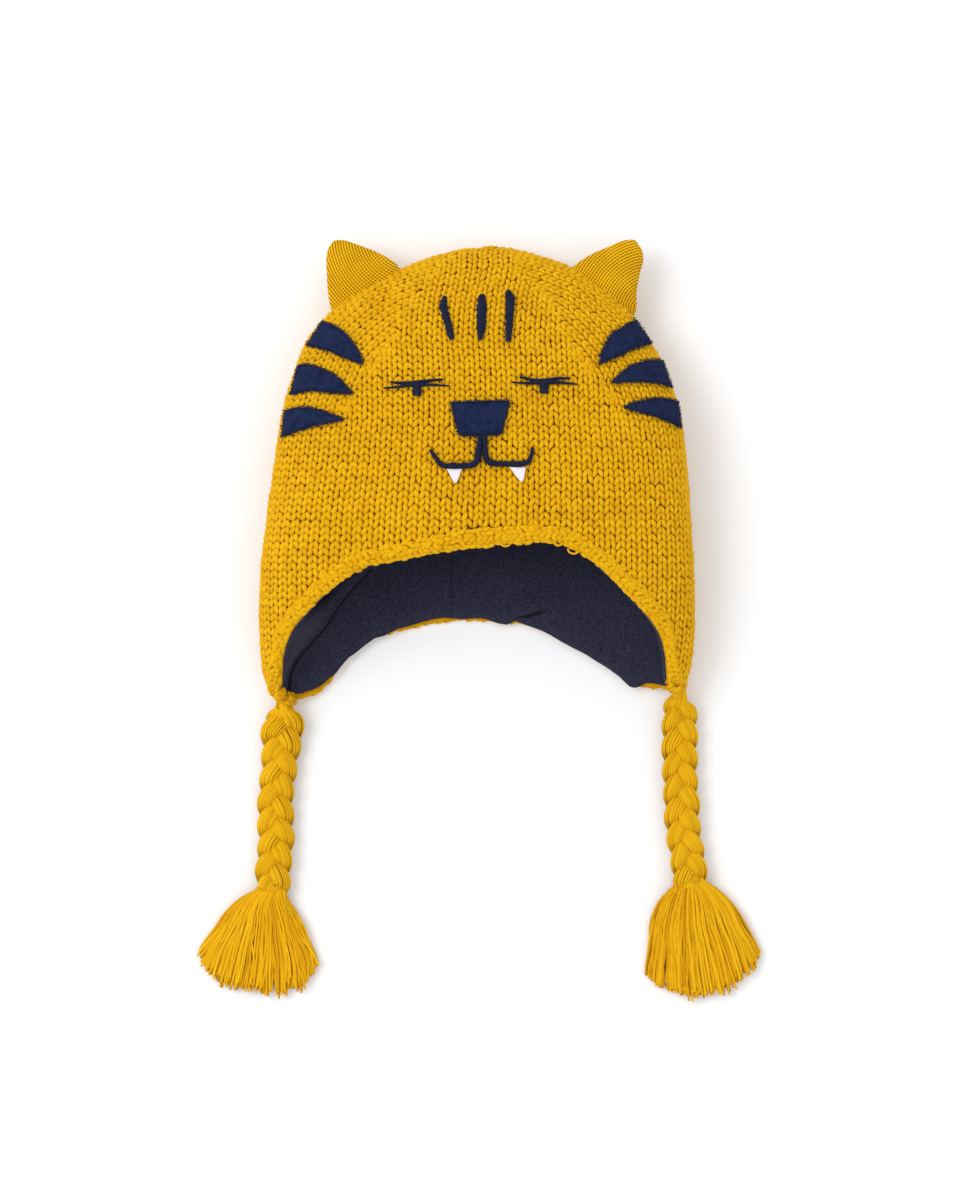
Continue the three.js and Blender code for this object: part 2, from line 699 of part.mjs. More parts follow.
// Felt and embroidery of the face
for (const [place, rows] of Object.entries(CHEEK_STRIPES)) {
  addPiece(`cheek_stripe_${place}`, feltPiece(rows, 6, 3), navyFelt);
}
addPiece("nose_patch", feltPiece(NOSE, 6, 3), navyFelt);
for (const [side, rows] of Object.entries(FANGS)) {
  addPiece(`fang_${side}`, feltPiece(rows, 4, 1), whiteFelt);
}
FOREHEAD_BARS.forEach((rows, i) => {
  addPiece(`forehead_bar_${i + 1}`, stitchedLine(rows, 6), navyThread);
});
for (const [side, eye] of Object.entries(EYES)) {
  const lines = [stitchedLine(eye.lash, 4), stitchedLine(eye.lid, 5), stitchedLine(eye.pupil, 3)];
  addPiece(`eye_${side}`, joined(lines), navyThread);
}
const mouthLines = Object.values(MOUTH).map((rows) => stitchedLine(rows, 11));
addPiece("mouth", joined(mouthLines), navyThread);

// Plaits of three strands that swing from side to side and over each other
function strand(route, number) {
  const centre = new THREE.CatmullRomCurve3(route.map(({ x, y, z }) => new THREE.Vector3(x, y, z)));
  const length = centre.getLength();
  const points = Array.from({ length: STRAND_STEPS + 1 }, (_, i) => {
    const t = i / STRAND_STEPS;
    const phase = 2 * Math.PI * ((t * length) / PLAIT_PITCH + number / 3);
    const along = centre.getTangentAt(t);
    const sideways = new THREE.Vector3(-along.y, along.x, 0).normalize();
    const fromEnd = Math.min(t, 1 - t) * length;
    const gather = Math.min(1, (fromEnd + GATHER_START) / GATHER_LENGTH);
    const swing = gather * STRAND_SWING * Math.sin(phase);
    const point = centre.getPointAt(t).addScaledVector(sideways, swing);
    point.z += gather * STRAND_RISE * Math.sin(2 * phase);
    return point;
  });
  const section = new THREE.Shape();
  for (let i = 0; i < STRAND_SIDES; i += 1) {
    const angle = (2 * Math.PI * i) / STRAND_SIDES;
    const move = i === 0 ? "moveTo" : "lineTo";
    section[move](STRAND_RADIUS * Math.cos(angle), STRAND_RADIUS * Math.sin(angle));
  }
  const extrudePath = new THREE.CatmullRomCurve3(points);
  const tube = new THREE.ExtrudeGeometry(section, { steps: STRAND_STEPS, bevelEnabled: false, extrudePath });
  return weld(tube);
}

// Lock of a tassel: a strip that leaves the head sideways, then turns down and lies on the surface
function lock(head, row) {
  const lean = THREE.MathUtils.degToRad(head.lean);
  const route = Array.from({ length: LOCK_STEPS + 1 }, (_, i) => {
    const down = (row.length * i) / LOCK_STEPS;
    const out = row.across * SKIRT_HALF_WIDTH * (1 - Math.exp(-down / SKIRT_FLARE));
    const height = THREE.MathUtils.lerp(LOCK_START_Z, row.lie, Math.min(1, down / LOCK_SETTLE));
    const place = new THREE.Vector3(out, -down, height);
    place.applyAxisAngle(new THREE.Vector3(0, 0, 1), lean);
    return place.add(new THREE.Vector3(head.x, head.y, 0));
  });
  const rings = route.map((centre, i) => {
    const before = route[Math.max(i - 1, 0)];
    const after = route[Math.min(i + 1, LOCK_STEPS)];
    const sideways = new THREE.Vector3(before.y - after.y, after.x - before.x, 0).normalize();
    const fullness = Math.sin((Math.PI * i) / LOCK_STEPS);
    const width = LOCK_WIDTH * THREE.MathUtils.lerp(LOCK_ENDS, 1, fullness);
    const height = LOCK_HEIGHT * (1 - (LOCK_THINNING * i) / LOCK_STEPS);
    return Array.from({ length: LOCK_SIDES }, (_, j) => {
      const angle = (2 * Math.PI * j) / LOCK_SIDES;
      const point = centre.clone().addScaledVector(sideways, (width / 2) * Math.cos(angle));
      point.z = Math.max(point.z + (height / 2) * Math.sin(angle), 0);
      return point;
    });
  });
  return closedTube(rings);
}

// Round head of a tassel, which rests on the surface
function roundHead({ x, y }) {
  const { width, length, height, below } = TASSEL_HEAD;
  const ball = new THREE.SphereGeometry(0.5, 10, 7);
  ball.scale(width, length, height);
  ball.translate(x, y - below, height / 2);
  return weld(ball.toNonIndexed());
}

for (const [side, route] of Object.entries(PLAIT_ROUTES)) {
  const end = new THREE.Vector3().copy(route[route.length - 1]);
  const before = new THREE.Vector3().copy(route[route.length - 2]);
  const along = end.clone().sub(before).setZ(0).normalize();
  const back = along.clone().negate();
  const strands = wasm.Manifold.union([0, 1, 2].map((number) => toSolid(strand(route, number))));
  const plait = strands.trimByPlane(back.toArray(), back.dot(end) + PLAIT_TRIM);
  addPiece(`braid_${side}`, toGeometry(plait), plaitYarn);

  const half = BINDING_LENGTH / 2;
  const profile = [
    new THREE.Vector2(0, -half),
    new THREE.Vector2(BINDING_RADIUS * BINDING_EDGE, -half),
    new THREE.Vector2(BINDING_RADIUS, -half * BINDING_FLAT),
    new THREE.Vector2(BINDING_RADIUS, half * BINDING_FLAT),
    new THREE.Vector2(BINDING_RADIUS * BINDING_EDGE, half),
    new THREE.Vector2(0, half),
  ];
  const binding = new THREE.LatheGeometry(profile, BINDING_SIDES);
  const turn = new THREE.Quaternion().setFromUnitVectors(new THREE.Vector3(0, 1, 0), along);
  binding.applyQuaternion(turn);
  const place = end.clone().addScaledVector(along, GAP - PLAIT_TRIM + half);
  binding.translate(place.x, place.y, place.z);
  addPiece(`binding_${side}`, binding, plaitYarn);

  const head = TASSELS[side];
  const forms = [roundHead(head), ...TASSEL_LOCKS.map((row) => lock(head, row))];
  const tassel = wasm.Manifold.union(forms.map(toSolid));
  const start = along.dot(place) + half + GAP;
  addPiece(`tassel_${side}`, toGeometry(tassel.trimByPlane(along.toArray(), start)), plaitYarn);
}

export default hat;
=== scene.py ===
"""Child's knitted earflap hat with a tiger's face, lightly stuffed, lying on its back."""

import math

import bmesh
import bpy
import numpy as np
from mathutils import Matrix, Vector


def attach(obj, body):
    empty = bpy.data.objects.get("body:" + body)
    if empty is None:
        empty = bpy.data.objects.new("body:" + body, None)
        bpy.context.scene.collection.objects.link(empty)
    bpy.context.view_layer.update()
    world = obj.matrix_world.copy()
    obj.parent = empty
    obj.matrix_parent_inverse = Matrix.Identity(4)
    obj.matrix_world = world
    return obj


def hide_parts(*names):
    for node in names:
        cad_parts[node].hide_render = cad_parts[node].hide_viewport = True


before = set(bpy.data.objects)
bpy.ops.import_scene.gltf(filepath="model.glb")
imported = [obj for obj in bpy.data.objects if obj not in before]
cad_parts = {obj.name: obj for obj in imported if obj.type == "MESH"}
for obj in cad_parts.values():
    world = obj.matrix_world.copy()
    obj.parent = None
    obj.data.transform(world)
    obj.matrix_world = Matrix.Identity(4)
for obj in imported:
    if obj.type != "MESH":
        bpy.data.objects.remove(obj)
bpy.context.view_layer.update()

SEED = 11
MM = 0.001
TURN = 2 * math.pi
UP = np.array([0.0, 0.0, 1.0])
random = np.random.default_rng(SEED)


def added(name, data):
    """A new object in the scene."""
    made = bpy.data.objects.new(name, data)
    bpy.context.scene.collection.objects.link(made)
    return made


# Camera: straight above the middle of the picture, at half a millimetre to a pixel over the hat's middle

PICTURE_HEIGHT = 1191
PIXEL = 0.5
CAMERA_PLACE = (1.0, -62.75, 2025.0)
CAMERA_DISTANCE = 2000.0
SENSOR = 36.0
FAR_CLIP = 20

camera = added("camera", bpy.data.cameras.new("camera"))
camera.data.sensor_width = SENSOR
camera.data.lens = SENSOR * CAMERA_DISTANCE / (PICTURE_HEIGHT * PIXEL)
camera.data.clip_end = FAR_CLIP
camera.location = Vector(CAMERA_PLACE) * MM
bpy.context.scene.camera = camera
bpy.context.scene.view_settings.view_transform = "Standard"


# Node trees: a socket whose arithmetic adds Math nodes, and one method for every other node


def operator(operation, swapped=False):
    """One of Python's operators, as a method that adds a Math node."""

    def method(self, other):
        pair = (other, self) if swapped else (self, other)
        return self.maths(operation, *pair)

    return method


class Signal:
    """The output of a node, which Python's operators carry on into Math nodes."""

    def __init__(self, graph, socket):
        self.graph = graph
        self.socket = socket

    def maths(self, operation, *values):
        return self.graph.node("ShaderNodeMath", dict(enumerate(values)), {"operation": operation})

    __add__ = __radd__ = operator("ADD")
    __sub__ = operator("SUBTRACT")
    __rsub__ = operator("SUBTRACT", swapped=True)
    __mul__ = __rmul__ = operator("MULTIPLY")
    __truediv__ = operator("DIVIDE")
    __pow__ = operator("POWER")

    def sine(self):
        return self.maths("SINE", self)

    def clamped(self):
        return self.maths("MINIMUM", self.maths("MAXIMUM", self, 0.0), 1.0)


class Graph:
    """A node tree, with one method that makes any node from its settings and its sockets' values."""

    def __init__(self, tree):
        self.tree = tree

    def node(self, kind, sockets=None, settings=None, output=0):
        node = self.tree.nodes.new(kind)
        for key, value in (settings or {}).items():
            if key == "stops":
                self._fill_ramp(node.color_ramp, value)
            else:
                setattr(node, key, value)
        for key, value in (sockets or {}).items():
            self.feed(node.inputs[key], value)
        return Signal(self, node.outputs[output])

    def feed(self, target, value):
        if isinstance(value, Signal):
            self.tree.links.new(value.socket, target)
        else:
            target.default_value = value

    def _fill_ramp(self, ramp, stops):
        while len(ramp.elements) < len(stops):
            ramp.elements.new(0.5)
        for element, (place, colour) in zip(ramp.elements, stops):
            element.position = place
            element.color = (*colour, 1)


class Finish(Graph):
    """A material around one Principled shader, whose constants sit on its own sockets."""

    def __init__(self, name, **constants):
        self.material = bpy.data.materials.new(name)
        self.material.use_nodes = True
        super().__init__(self.material.node_tree)
        self.shader = self.tree.nodes["Principled BSDF"]
        for socket, value in constants.items():
            self.shader.inputs[socket.replace("_", " ")].default_value = value

    def paint(self, socket, value):
        self.feed(self.shader.inputs[socket], value)

    def place(self):
        return self.node("ShaderNodeTexCoord", output=3)

    def attribute(self, name):
        return self.node("ShaderNodeAttribute", settings={"attribute_name": name}, output=2)

    def noise(self, scale, detail=2.0):
        sockets = {"Vector": self.place(), "Scale": scale, "Detail": detail}
        return self.node("ShaderNodeTexNoise", sockets)

    def mix(self, amount, first, second):
        first, second = ((*c, 1) if isinstance(c, tuple) else c for c in (first, second))
        return self.node("ShaderNodeMix", {0: amount, 6: first, 7: second}, {"data_type": "RGBA"}, 2)

    def bump(self, height, distance, strength=1.0):
        sockets = {"Strength": strength, "Distance": distance, "Height": height}
        self.paint("Normal", self.node("ShaderNodeBump", sockets))


# Colours of the yarns, felts and fleece, from dark to light

KNIT_COLOURS = (0.53, 0.243, 0.001), (0.75, 0.405, 0.001), (0.86, 0.53, 0.006)
PLAIT_COLOURS = (0.57, 0.275, 0.001), (0.79, 0.437, 0.003), (0.865, 0.53, 0.010)
TASSEL_COLOURS = (0.56, 0.25, 0.001), (0.80, 0.42, 0.002), (0.89, 0.53, 0.007)
EAR_COLOURS = (0.75, 0.40, 0.001), (0.88, 0.535, 0.006)
# Painted shade: the dark yarn seen in the gaps between the stitches, and the darker yarn under the band's
# loops
BACKING_SHADE_COLOURS = (0.20, 0.045, 0.001), (0.34, 0.10, 0.001)
BAND_GAP_SHADE_COLOURS = (0.50, 0.20, 0.001), (0.75, 0.405, 0.001)
# Colour of the painted shade where yarn dives into the knit or under other yarn
YARN_PAINTED_SHADE = (0.20, 0.042, 0.001)
EAR_PAINTED_SHADE = (0.30, 0.078, 0.001)
FLEECE_COLOURS = (0.013, 0.0135, 0.030), (0.043, 0.042, 0.076)
FLEECE_SHADE = (0.005, 0.005, 0.012)
NAVY_FELT_COLOURS = (0.003, 0.008, 0.034), (0.014, 0.022, 0.068)
WHITE_FELT_COLOURS = (0.70, 0.66, 0.74), (0.84, 0.79, 0.83)
THREAD_COLOURS = (0.005, 0.009, 0.032), (0.013, 0.019, 0.055)


def yarn_finish(name, colours, fibre, variety):
    """Wool-like yarn: each stitch has its own tone, with fine fibres in the bump, and painted shade where the
    yarn dives under other yarn.
    """
    finish = Finish(name, Roughness=0.85, Specular_IOR_Level=0.16)
    tone = finish.attribute("tone")
    tucked = finish.attribute("tucked")
    patches = finish.noise(45.0)
    fibres = finish.noise(fibre, 3.0)
    depth = (tone * variety + patches * 0.3 + fibres * 0.5 + (0.1 - variety / 2)).clamped()
    deep, middle, pale = colours
    low = finish.mix((depth * 2.0).clamped(), deep, middle)
    light = finish.mix((depth * 2.0 - 1.0).clamped(), low, pale)
    # Painted shade: the yarn darkens towards a deep red-brown where it dives into the knit or under other
    # yarn
    finish.paint("Base Color", finish.mix(tucked, light, YARN_PAINTED_SHADE))
    finish.bump(fibres, 0.0004, 0.6)
    return finish.material


knit_finish = yarn_finish("chunky mustard yarn", KNIT_COLOURS, fibre=2600.0, variety=0.25)
plait_finish = yarn_finish("loose mustard yarn", PLAIT_COLOURS, fibre=3200.0, variety=0.4)
tassel_finish = yarn_finish("tassel yarn", TASSEL_COLOURS, fibre=3200.0, variety=0.75)


def backing_finish(name, colours):
    """Yarn that shows in the gaps between the stitches, in colours of painted shade."""
    finish = Finish(name, Roughness=0.95, Specular_IOR_Level=0.1)
    finish.paint("Base Color", finish.mix(finish.noise(300.0), *colours))
    finish.bump(finish.noise(1500.0), 0.0004)
    return finish.material


def fine_knit_finish():
    """Fine rib-like stockinette of the ears, drawn over their own UV map in stitches, with painted shade in
    the grooves between the ribs.
    """
    finish = Finish("fine mustard knit", Roughness=0.9, Specular_IOR_Level=0.12)
    stitches = finish.node("ShaderNodeUVMap", settings={"uv_map": "stitches"})
    apart = finish.node("ShaderNodeSeparateXYZ", {0: stitches})
    across, along = (Signal(finish, socket) for socket in apart.socket.node.outputs[:2])
    wobble = finish.noise(160.0) * 0.5
    rib = (across * TURN + wobble).sine() * 0.5 + 0.5
    row = (along * TURN + wobble).sine() * 0.5 + 0.5
    gap = (1.0 - rib) ** 1.5 * (row * 0.6 + 0.35) * (finish.noise(55.0) * 1.2 + 0.45)
    yarn = finish.mix(finish.noise(70.0), *EAR_COLOURS)
    # Painted shade in the grooves between the ribs, with darker dots along them
    finish.paint("Base Color", finish.mix((gap * 1.25).clamped(), yarn, EAR_PAINTED_SHADE))
    finish.bump(1.0 - gap, 0.0007, 0.9)
    return finish.material


SEAM_X = -13.5
SEAM_HALF_WIDTH = 0.7
SEAM_DARK = 0.45


def fleece_finish():
    """Brushed navy fleece with small lighter tufts, a darker seam, and painted shade along the creases of its
    folds.
    """
    sheen = {"Sheen_Weight": 0.06, "Sheen_Roughness": 0.5}
    finish = Finish("navy fleece", Roughness=1.0, Specular_IOR_Level=0.1, **sheen)
    tufts = finish.noise(650.0, 4.0)
    grain = finish.noise(1900.0)
    fluff = ((tufts * 0.4 + grain * 0.8 - 0.46) * 3.2).clamped()
    across = finish.node("ShaderNodeSeparateXYZ", {0: finish.place()})
    off_seam = ((across + SEAM_X * -MM) ** 2.0) ** 0.5 / (SEAM_HALF_WIDTH * MM)
    seam = (1.0 - off_seam).clamped() * SEAM_DARK
    cloth = finish.mix(fluff, *FLEECE_COLOURS)
    # Painted shade from the folds' shade attribute, plus the seam's own darker colour
    dark = (finish.attribute("shade") + seam).clamped()
    finish.paint("Base Color", finish.mix(dark, cloth, FLEECE_SHADE))
    finish.bump(tufts * 0.6 + grain * 0.4, 0.0009, 0.8)
    return finish.material


def felt_finish(name, colours):
    """Short matted fibres with a faint mottle."""
    finish = Finish(name, Roughness=0.95, Specular_IOR_Level=0.1)
    mottle = finish.noise(260.0, 3.0)
    grain = finish.noise(2400.0)
    pale = ((mottle * 0.8 + grain * 1.1 - 0.7) * 2.4).clamped()
    finish.paint("Base Color", finish.mix(pale, *colours))
    finish.bump(grain, 0.0003, 0.5)
    return finish.material


def thread_finish():
    """Dark embroidery thread with a soft lustre."""
    finish = Finish("navy embroidery thread", Roughness=0.6, Specular_IOR_Level=0.2)
    finish.paint("Base Color", finish.mix(finish.attribute("tone"), *THREAD_COLOURS))
    finish.bump(finish.noise(2500.0), 0.0002, 0.4)
    return finish.material


backing = backing_finish("knit backing", BACKING_SHADE_COLOURS)
band_gap_shade = backing_finish("matted mustard yarn", BAND_GAP_SHADE_COLOURS)
ear_finish = fine_knit_finish()
fleece = fleece_finish()
navy_felt = felt_finish("navy felt", NAVY_FELT_COLOURS)
white_felt = felt_finish("white felt", WHITE_FELT_COLOURS)
thread = thread_finish()


# Meshes, each with its body and the solid of the CAD that it stands for


def settle(piece, node):
    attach(piece, "root")
    if node:
        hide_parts(node)
    return piece


def new_piece(name, points, faces, material, node):
    """A finished mesh from points in millimetres."""
    mesh = bpy.data.meshes.new(name)
    mesh.from_pydata((np.asarray(points, float) * MM).tolist(), [], faces)
    mesh.materials.append(material)
    mesh.polygons.foreach_set("use_smooth", np.ones(len(mesh.polygons), bool))
    return settle(added(name, mesh), node)


def grid_faces(rows, columns, round_across, start=0, flipped=False):
    """Quads over a grid of points, numbered row by row."""
    width = columns if round_across else columns - 1
    i, j = np.meshgrid(np.arange(rows - 1), np.arange(width), indexing="ij")
    k = (j + 1) % columns
    corners = [i * columns + j, (i + 1) * columns + j, (i + 1) * columns + k, i * columns + k]
    quads = np.stack([c.ravel() for c in corners], axis=1) + start
    return (quads[:, ::-1] if flipped else quads).tolist()


def unit(vectors):
    return vectors / np.maximum(np.linalg.norm(vectors, axis=-1, keepdims=True), 1e-9)


def smooth(value, low, high):
    t = np.clip((value - low) / (high - low), 0, 1)
    return t * t * (3 - 2 * t)


LEAST_HEIGHT = 0.02


def with_geometry(name, points, attributes, tree, material, slot, node, edges=(), **settings):
    """Runs a node tree over points that carry attributes, and keeps the result as a plain mesh."""
    source = bpy.data.meshes.new(name)
    source.from_pydata((np.asarray(points, float) * MM).tolist(), edges, [])
    for key, values in attributes.items():
        values = np.asarray(values, float)
        kind, field = ("FLOAT_VECTOR", "vector") if values.ndim == 2 else ("FLOAT", "value")
        source.attributes.new(key, kind, "POINT").data.foreach_set(field, values.ravel())
    piece = added(name, source)
    maker = piece.modifiers.new(name, "NODES")
    maker.node_group = tree
    inputs = {item.name: item.identifier for item in tree.interface.items_tree}
    for key, value in {"Material": material, **settings}.items():
        maker[inputs[key]] = value
    made = piece.evaluated_get(bpy.context.evaluated_depsgraph_get())
    mesh = bpy.data.meshes.new_from_object(made)
    piece.modifiers.clear()
    piece.data = mesh
    bpy.data.meshes.remove(source)
    mesh.name = name
    places = np.empty(len(mesh.vertices) * 3)
    mesh.vertices.foreach_get("co", places)
    places[2::3] = np.maximum(places[2::3], LEAST_HEIGHT * MM)
    mesh.vertices.foreach_set("co", places)
    return settle(piece, node)


def geometry_tree(name, inputs):
    """An empty geometry tree with named inputs, and the signals of those inputs."""
    tree = bpy.data.node_groups.new(name, "GeometryNodeTree")
    kinds = {float: "NodeSocketFloat", int: "NodeSocketInt", None: "NodeSocketMaterial"}
    tree.interface.new_socket("Geometry", in_out="INPUT", socket_type="NodeSocketGeometry")
    for key, value in inputs.items():
        kind = kinds[type(value) if value is not None else None]
        socket = tree.interface.new_socket(key, in_out="INPUT", socket_type=kind)
        if value is not None:
            socket.default_value = value
    tree.interface.new_socket("Geometry", in_out="OUTPUT", socket_type="NodeSocketGeometry")
    graph = Graph(tree)
    entry = tree.nodes.new("NodeGroupInput")
    return graph, {socket.name: Signal(graph, socket) for socket in entry.outputs if socket.name}


def finish_tree(graph, given, made):
    """Realizes, smooths and paints what a tree has made, and ends the tree."""
    solid = graph.node("GeometryNodeRealizeInstances", {0: made})
    soft = graph.node("GeometryNodeSetShadeSmooth", {0: solid})
    painted = graph.node("GeometryNodeSetMaterial", {0: soft, "Material": given["Material"]})
    leave = graph.tree.nodes.new("NodeGroupOutput")
    graph.feed(leave.inputs[0], painted)
    return graph.tree


def tube(graph, line, sides, radius):
    """A closed tube along a curve."""
    section = graph.node("GeometryNodeCurvePrimitiveCircle", {"Resolution": sides, "Radius": 1.0})
    sockets = {"Curve": line, "Profile Curve": section, "Scale": radius, "Fill Caps": True}
    return graph.node("GeometryNodeCurveToMesh", sockets)


def swept(graph, shape, steps, sides, radius, tucked=None):
    """A closed tube along a line whose points a function of the way along gives."""
    line = graph.node("GeometryNodeCurvePrimitiveLine")
    fine = graph.node("GeometryNodeResampleCurve", {"Curve": line, "Count": steps})
    along = graph.node("GeometryNodeSplineParameter")
    place = graph.node("ShaderNodeCombineXYZ", dict(enumerate(shape(along))))
    bent = graph.node("GeometryNodeSetPosition", {0: fine, "Position": place})
    # Stores painted shade along the tube, which its material darkens it by
    if tucked:
        sockets = {"Geometry": bent, "Name": "tucked", "Value": tucked(along)}
        bent = graph.node("GeometryNodeStoreNamedAttribute", sockets, {"data_type": "FLOAT"})
    return tube(graph, bent, sides, radius(along))


def named(graph, name, kind):
    """An attribute of the points."""
    return graph.node("GeometryNodeInputNamedAttribute", {0: name}, {"data_type": kind})


def placed_tree(graph, given, template):
    """A template at every point, turned to the point's own directions and scaled to its size."""
    outward, along, size = (named(graph, key, "FLOAT_VECTOR") for key in ("outward", "along", "size"))
    axes = {"primary_axis": "Z", "secondary_axis": "Y"}
    turn = graph.node("FunctionNodeAxesToRotation", {0: outward, 1: along}, axes)
    sockets = {0: given["Geometry"], "Instance": template, "Rotation": turn, "Scale": size}
    return finish_tree(graph, given, graph.node("GeometryNodeInstanceOnPoints", sockets))


WALE = 5.35
COURSE = 3.55
STITCH_YARN = 1.42
LEGS = [
    # side, start and width across, length and start along, and how much painted shade its lower end has
    (1.0, 0.05, 0.40, 1.38, -0.69, 0.5),
    (-1.0, 0.11, 0.32, 1.27, -0.53, 1.0),
]


def stitch_leg(graph, given, side, inner, spread, reach, start, end_shade):
    """One plump leg of a knit stitch."""

    def shape(t):
        middle = 2.0 * t - 1.0
        across = (inner + spread * t) * given["Wale"] * side
        return across, (t * reach + start) * given["Course"], (0.25 - 0.95 * middle * middle) * given["Yarn"]

    def radius(t):
        return given["Yarn"] * (0.32 + 0.66 * (t * math.pi).sine())

    # Painted shade on the lower end of the leg, where it dives into the knit
    def tucked(t):
        return (1.0 - t * 4.0).clamped() * end_shade

    return swept(graph, shape, given["Steps"], given["Sides"], radius, tucked)


def stitch_tree():
    """Knit stitches: two legs of yarn that form a V at every point."""
    sizes = {"Wale": WALE * MM, "Course": COURSE * MM, "Yarn": STITCH_YARN * MM}
    graph, given = geometry_tree("knit stitches", {**sizes, "Steps": 6, "Sides": 5, "Material": None})
    both = graph.tree.nodes.new("GeometryNodeJoinGeometry")
    for form in LEGS:
        graph.feed(both.inputs[0], stitch_leg(graph, given, *form))
    return placed_tree(graph, given, Signal(graph, both.outputs[0]))


def loop_tree():
    """Bound-off loops: one plump arch of yarn at every point."""
    graph, given = geometry_tree("bound-off loops", {"Reach": 0.0044, "Yarn": 0.0013, "Material": None})

    def shape(t):
        middle = 2.0 * t - 1.0
        return 0.0 * t, (t - 0.5) * given["Reach"], (0.2 - 1.1 * middle * middle) * given["Yarn"]

    def radius(t):
        return given["Yarn"] * (0.45 + 0.55 * (t * math.pi).sine())

    # Painted shade at both ends of the loop, where it dives into the knit
    def tucked(t):
        return (2.0 * t - 1.0) ** 4.0 * 0.4

    return placed_tree(graph, given, swept(graph, shape, 6, 6, radius, tucked))


def satin_tree():
    """Satin stitches: one low arch of thread across the line at every point."""
    inputs = {"Thread": 0.00022, "Reach": 0.00042, "Rise": 0.001, "Material": None}
    graph, given = geometry_tree("satin stitches", inputs)

    def shape(t):
        middle = 2.0 * t - 1.0
        return middle * given["Reach"], 0.0 * t, (1.0 - middle ** 8) * given["Rise"]

    return placed_tree(graph, given, swept(graph, shape, 5, 4, lambda t: given["Thread"] + 0.0 * t))


def yarn_tree():
    """Yarns: a tube along every line of the input, as thick as its points say."""
    graph, given = geometry_tree("yarns", {"Sides": 6, "Material": None})
    lines = graph.node("GeometryNodeMeshToCurve", {0: given["Geometry"]})
    radius = named(graph, "thickness", "FLOAT")
    return finish_tree(graph, given, tube(graph, lines, given["Sides"], radius))


stitches = stitch_tree()
edge_loops = loop_tree()
satin = satin_tree()
yarns = yarn_tree()


def laid_yarns(name, paths, radius, sides, material, slot, node, tucked=0.0):
    """Yarns along paths of the same number of points, a little thinner at their ends."""
    paths = np.asarray(paths, float)
    count, steps, _ = paths.shape
    chain = np.arange(count * steps).reshape(count, steps)
    edges = np.stack([chain[:, :-1].ravel(), chain[:, 1:].ravel()], axis=1).tolist()
    ends = 1 - 0.25 * np.abs(np.linspace(-1, 1, steps)) ** 6
    radii = np.broadcast_to(radius, (count, steps)) * ends * MM
    # Painted shade at every point of the yarns
    shade_values = np.broadcast_to(tucked, (count, steps))
    tone = np.repeat(random.random(count), steps)
    attributes = {"thickness": radii.ravel(), "tone": tone, "tucked": shade_values.ravel()}
    points = paths.reshape(-1, 3)
    return with_geometry(name, points, attributes, yarns, material, slot, node, edges, Sides=sides)


# Lines and tables


def arc_lengths(points):
    """Way along a line from its start to each of its points."""
    return np.concatenate([[0], np.cumsum(np.linalg.norm(np.diff(points, axis=0), axis=1))])


def row_lengths(points):
    """Way along each row of a grid of points."""
    steps = np.linalg.norm(np.diff(points, axis=1), axis=2)
    return np.concatenate([np.zeros((len(points), 1)), np.cumsum(steps, axis=1)], axis=1)


def points_at(points, way, at):
    """Points of a line at places on its way."""
    return np.stack([np.interp(at, way, column) for column in points.T], axis=1)


def value_at(table, key):
    """Value between the rows of a table with two columns."""
    return np.interp(key, table[:, 0], table[:, 1])


def hermite(keys, values, at):
    """Smooth value of a table's column at places along its key column."""
    keys, values, at = np.asarray(keys, float), np.asarray(values, float), np.asarray(at, float)
    slopes = np.empty(len(keys))
    slopes[1:-1] = (values[2:] - values[:-2]) / (keys[2:] - keys[:-2])
    slopes[0] = (values[1] - values[0]) / (keys[1] - keys[0])
    slopes[-1] = (values[-1] - values[-2]) / (keys[-1] - keys[-2])
    i = np.clip(np.searchsorted(keys, at, side="right") - 1, 0, len(keys) - 2)
    span = keys[i + 1] - keys[i]
    t = (at - keys[i]) / span
    blend = t * t * (3 - 2 * t)
    bend = t * (1 - t) ** 2 * span * slopes[i] + t * t * (t - 1) * span * slopes[i + 1]
    return values[i] * (1 - blend) + values[i + 1] * blend + bend


def smooth_line(points, keys, at):
    return np.stack([hermite(keys, column, at) for column in points.T], axis=1)


def spline(points, count):
    """Smooth line through points, in even steps of its chords."""
    points = np.asarray(points, float)
    return smooth_line(points, np.arange(len(points)), np.linspace(0, len(points) - 1, count))


def even_line(points, count):
    """Evenly spaced points on a smooth line through a few."""
    fine = spline(points, 480)
    way = arc_lengths(fine)
    return points_at(fine, way, np.linspace(0, way[-1], count))


def even_route(points, count):
    """Evenly spaced points on a line that is smooth over its own length, and that length."""
    points = np.asarray(points, float)
    reach = arc_lengths(points)
    curve = smooth_line(points, reach, np.linspace(0, reach[-1], count * 4))
    way = arc_lengths(curve)
    return points_at(curve, way, np.linspace(0, way[-1], count)), way[-1]


def even_turns(fine, ring, count):
    """Angles of places evenly apart on a ring, from fine angles and the points there."""
    way = arc_lengths(ring)
    return np.interp(np.arange(count) * way[-1] / count, way, fine)


# Ties: plaits of three strands of yarn, their bindings and their tassels

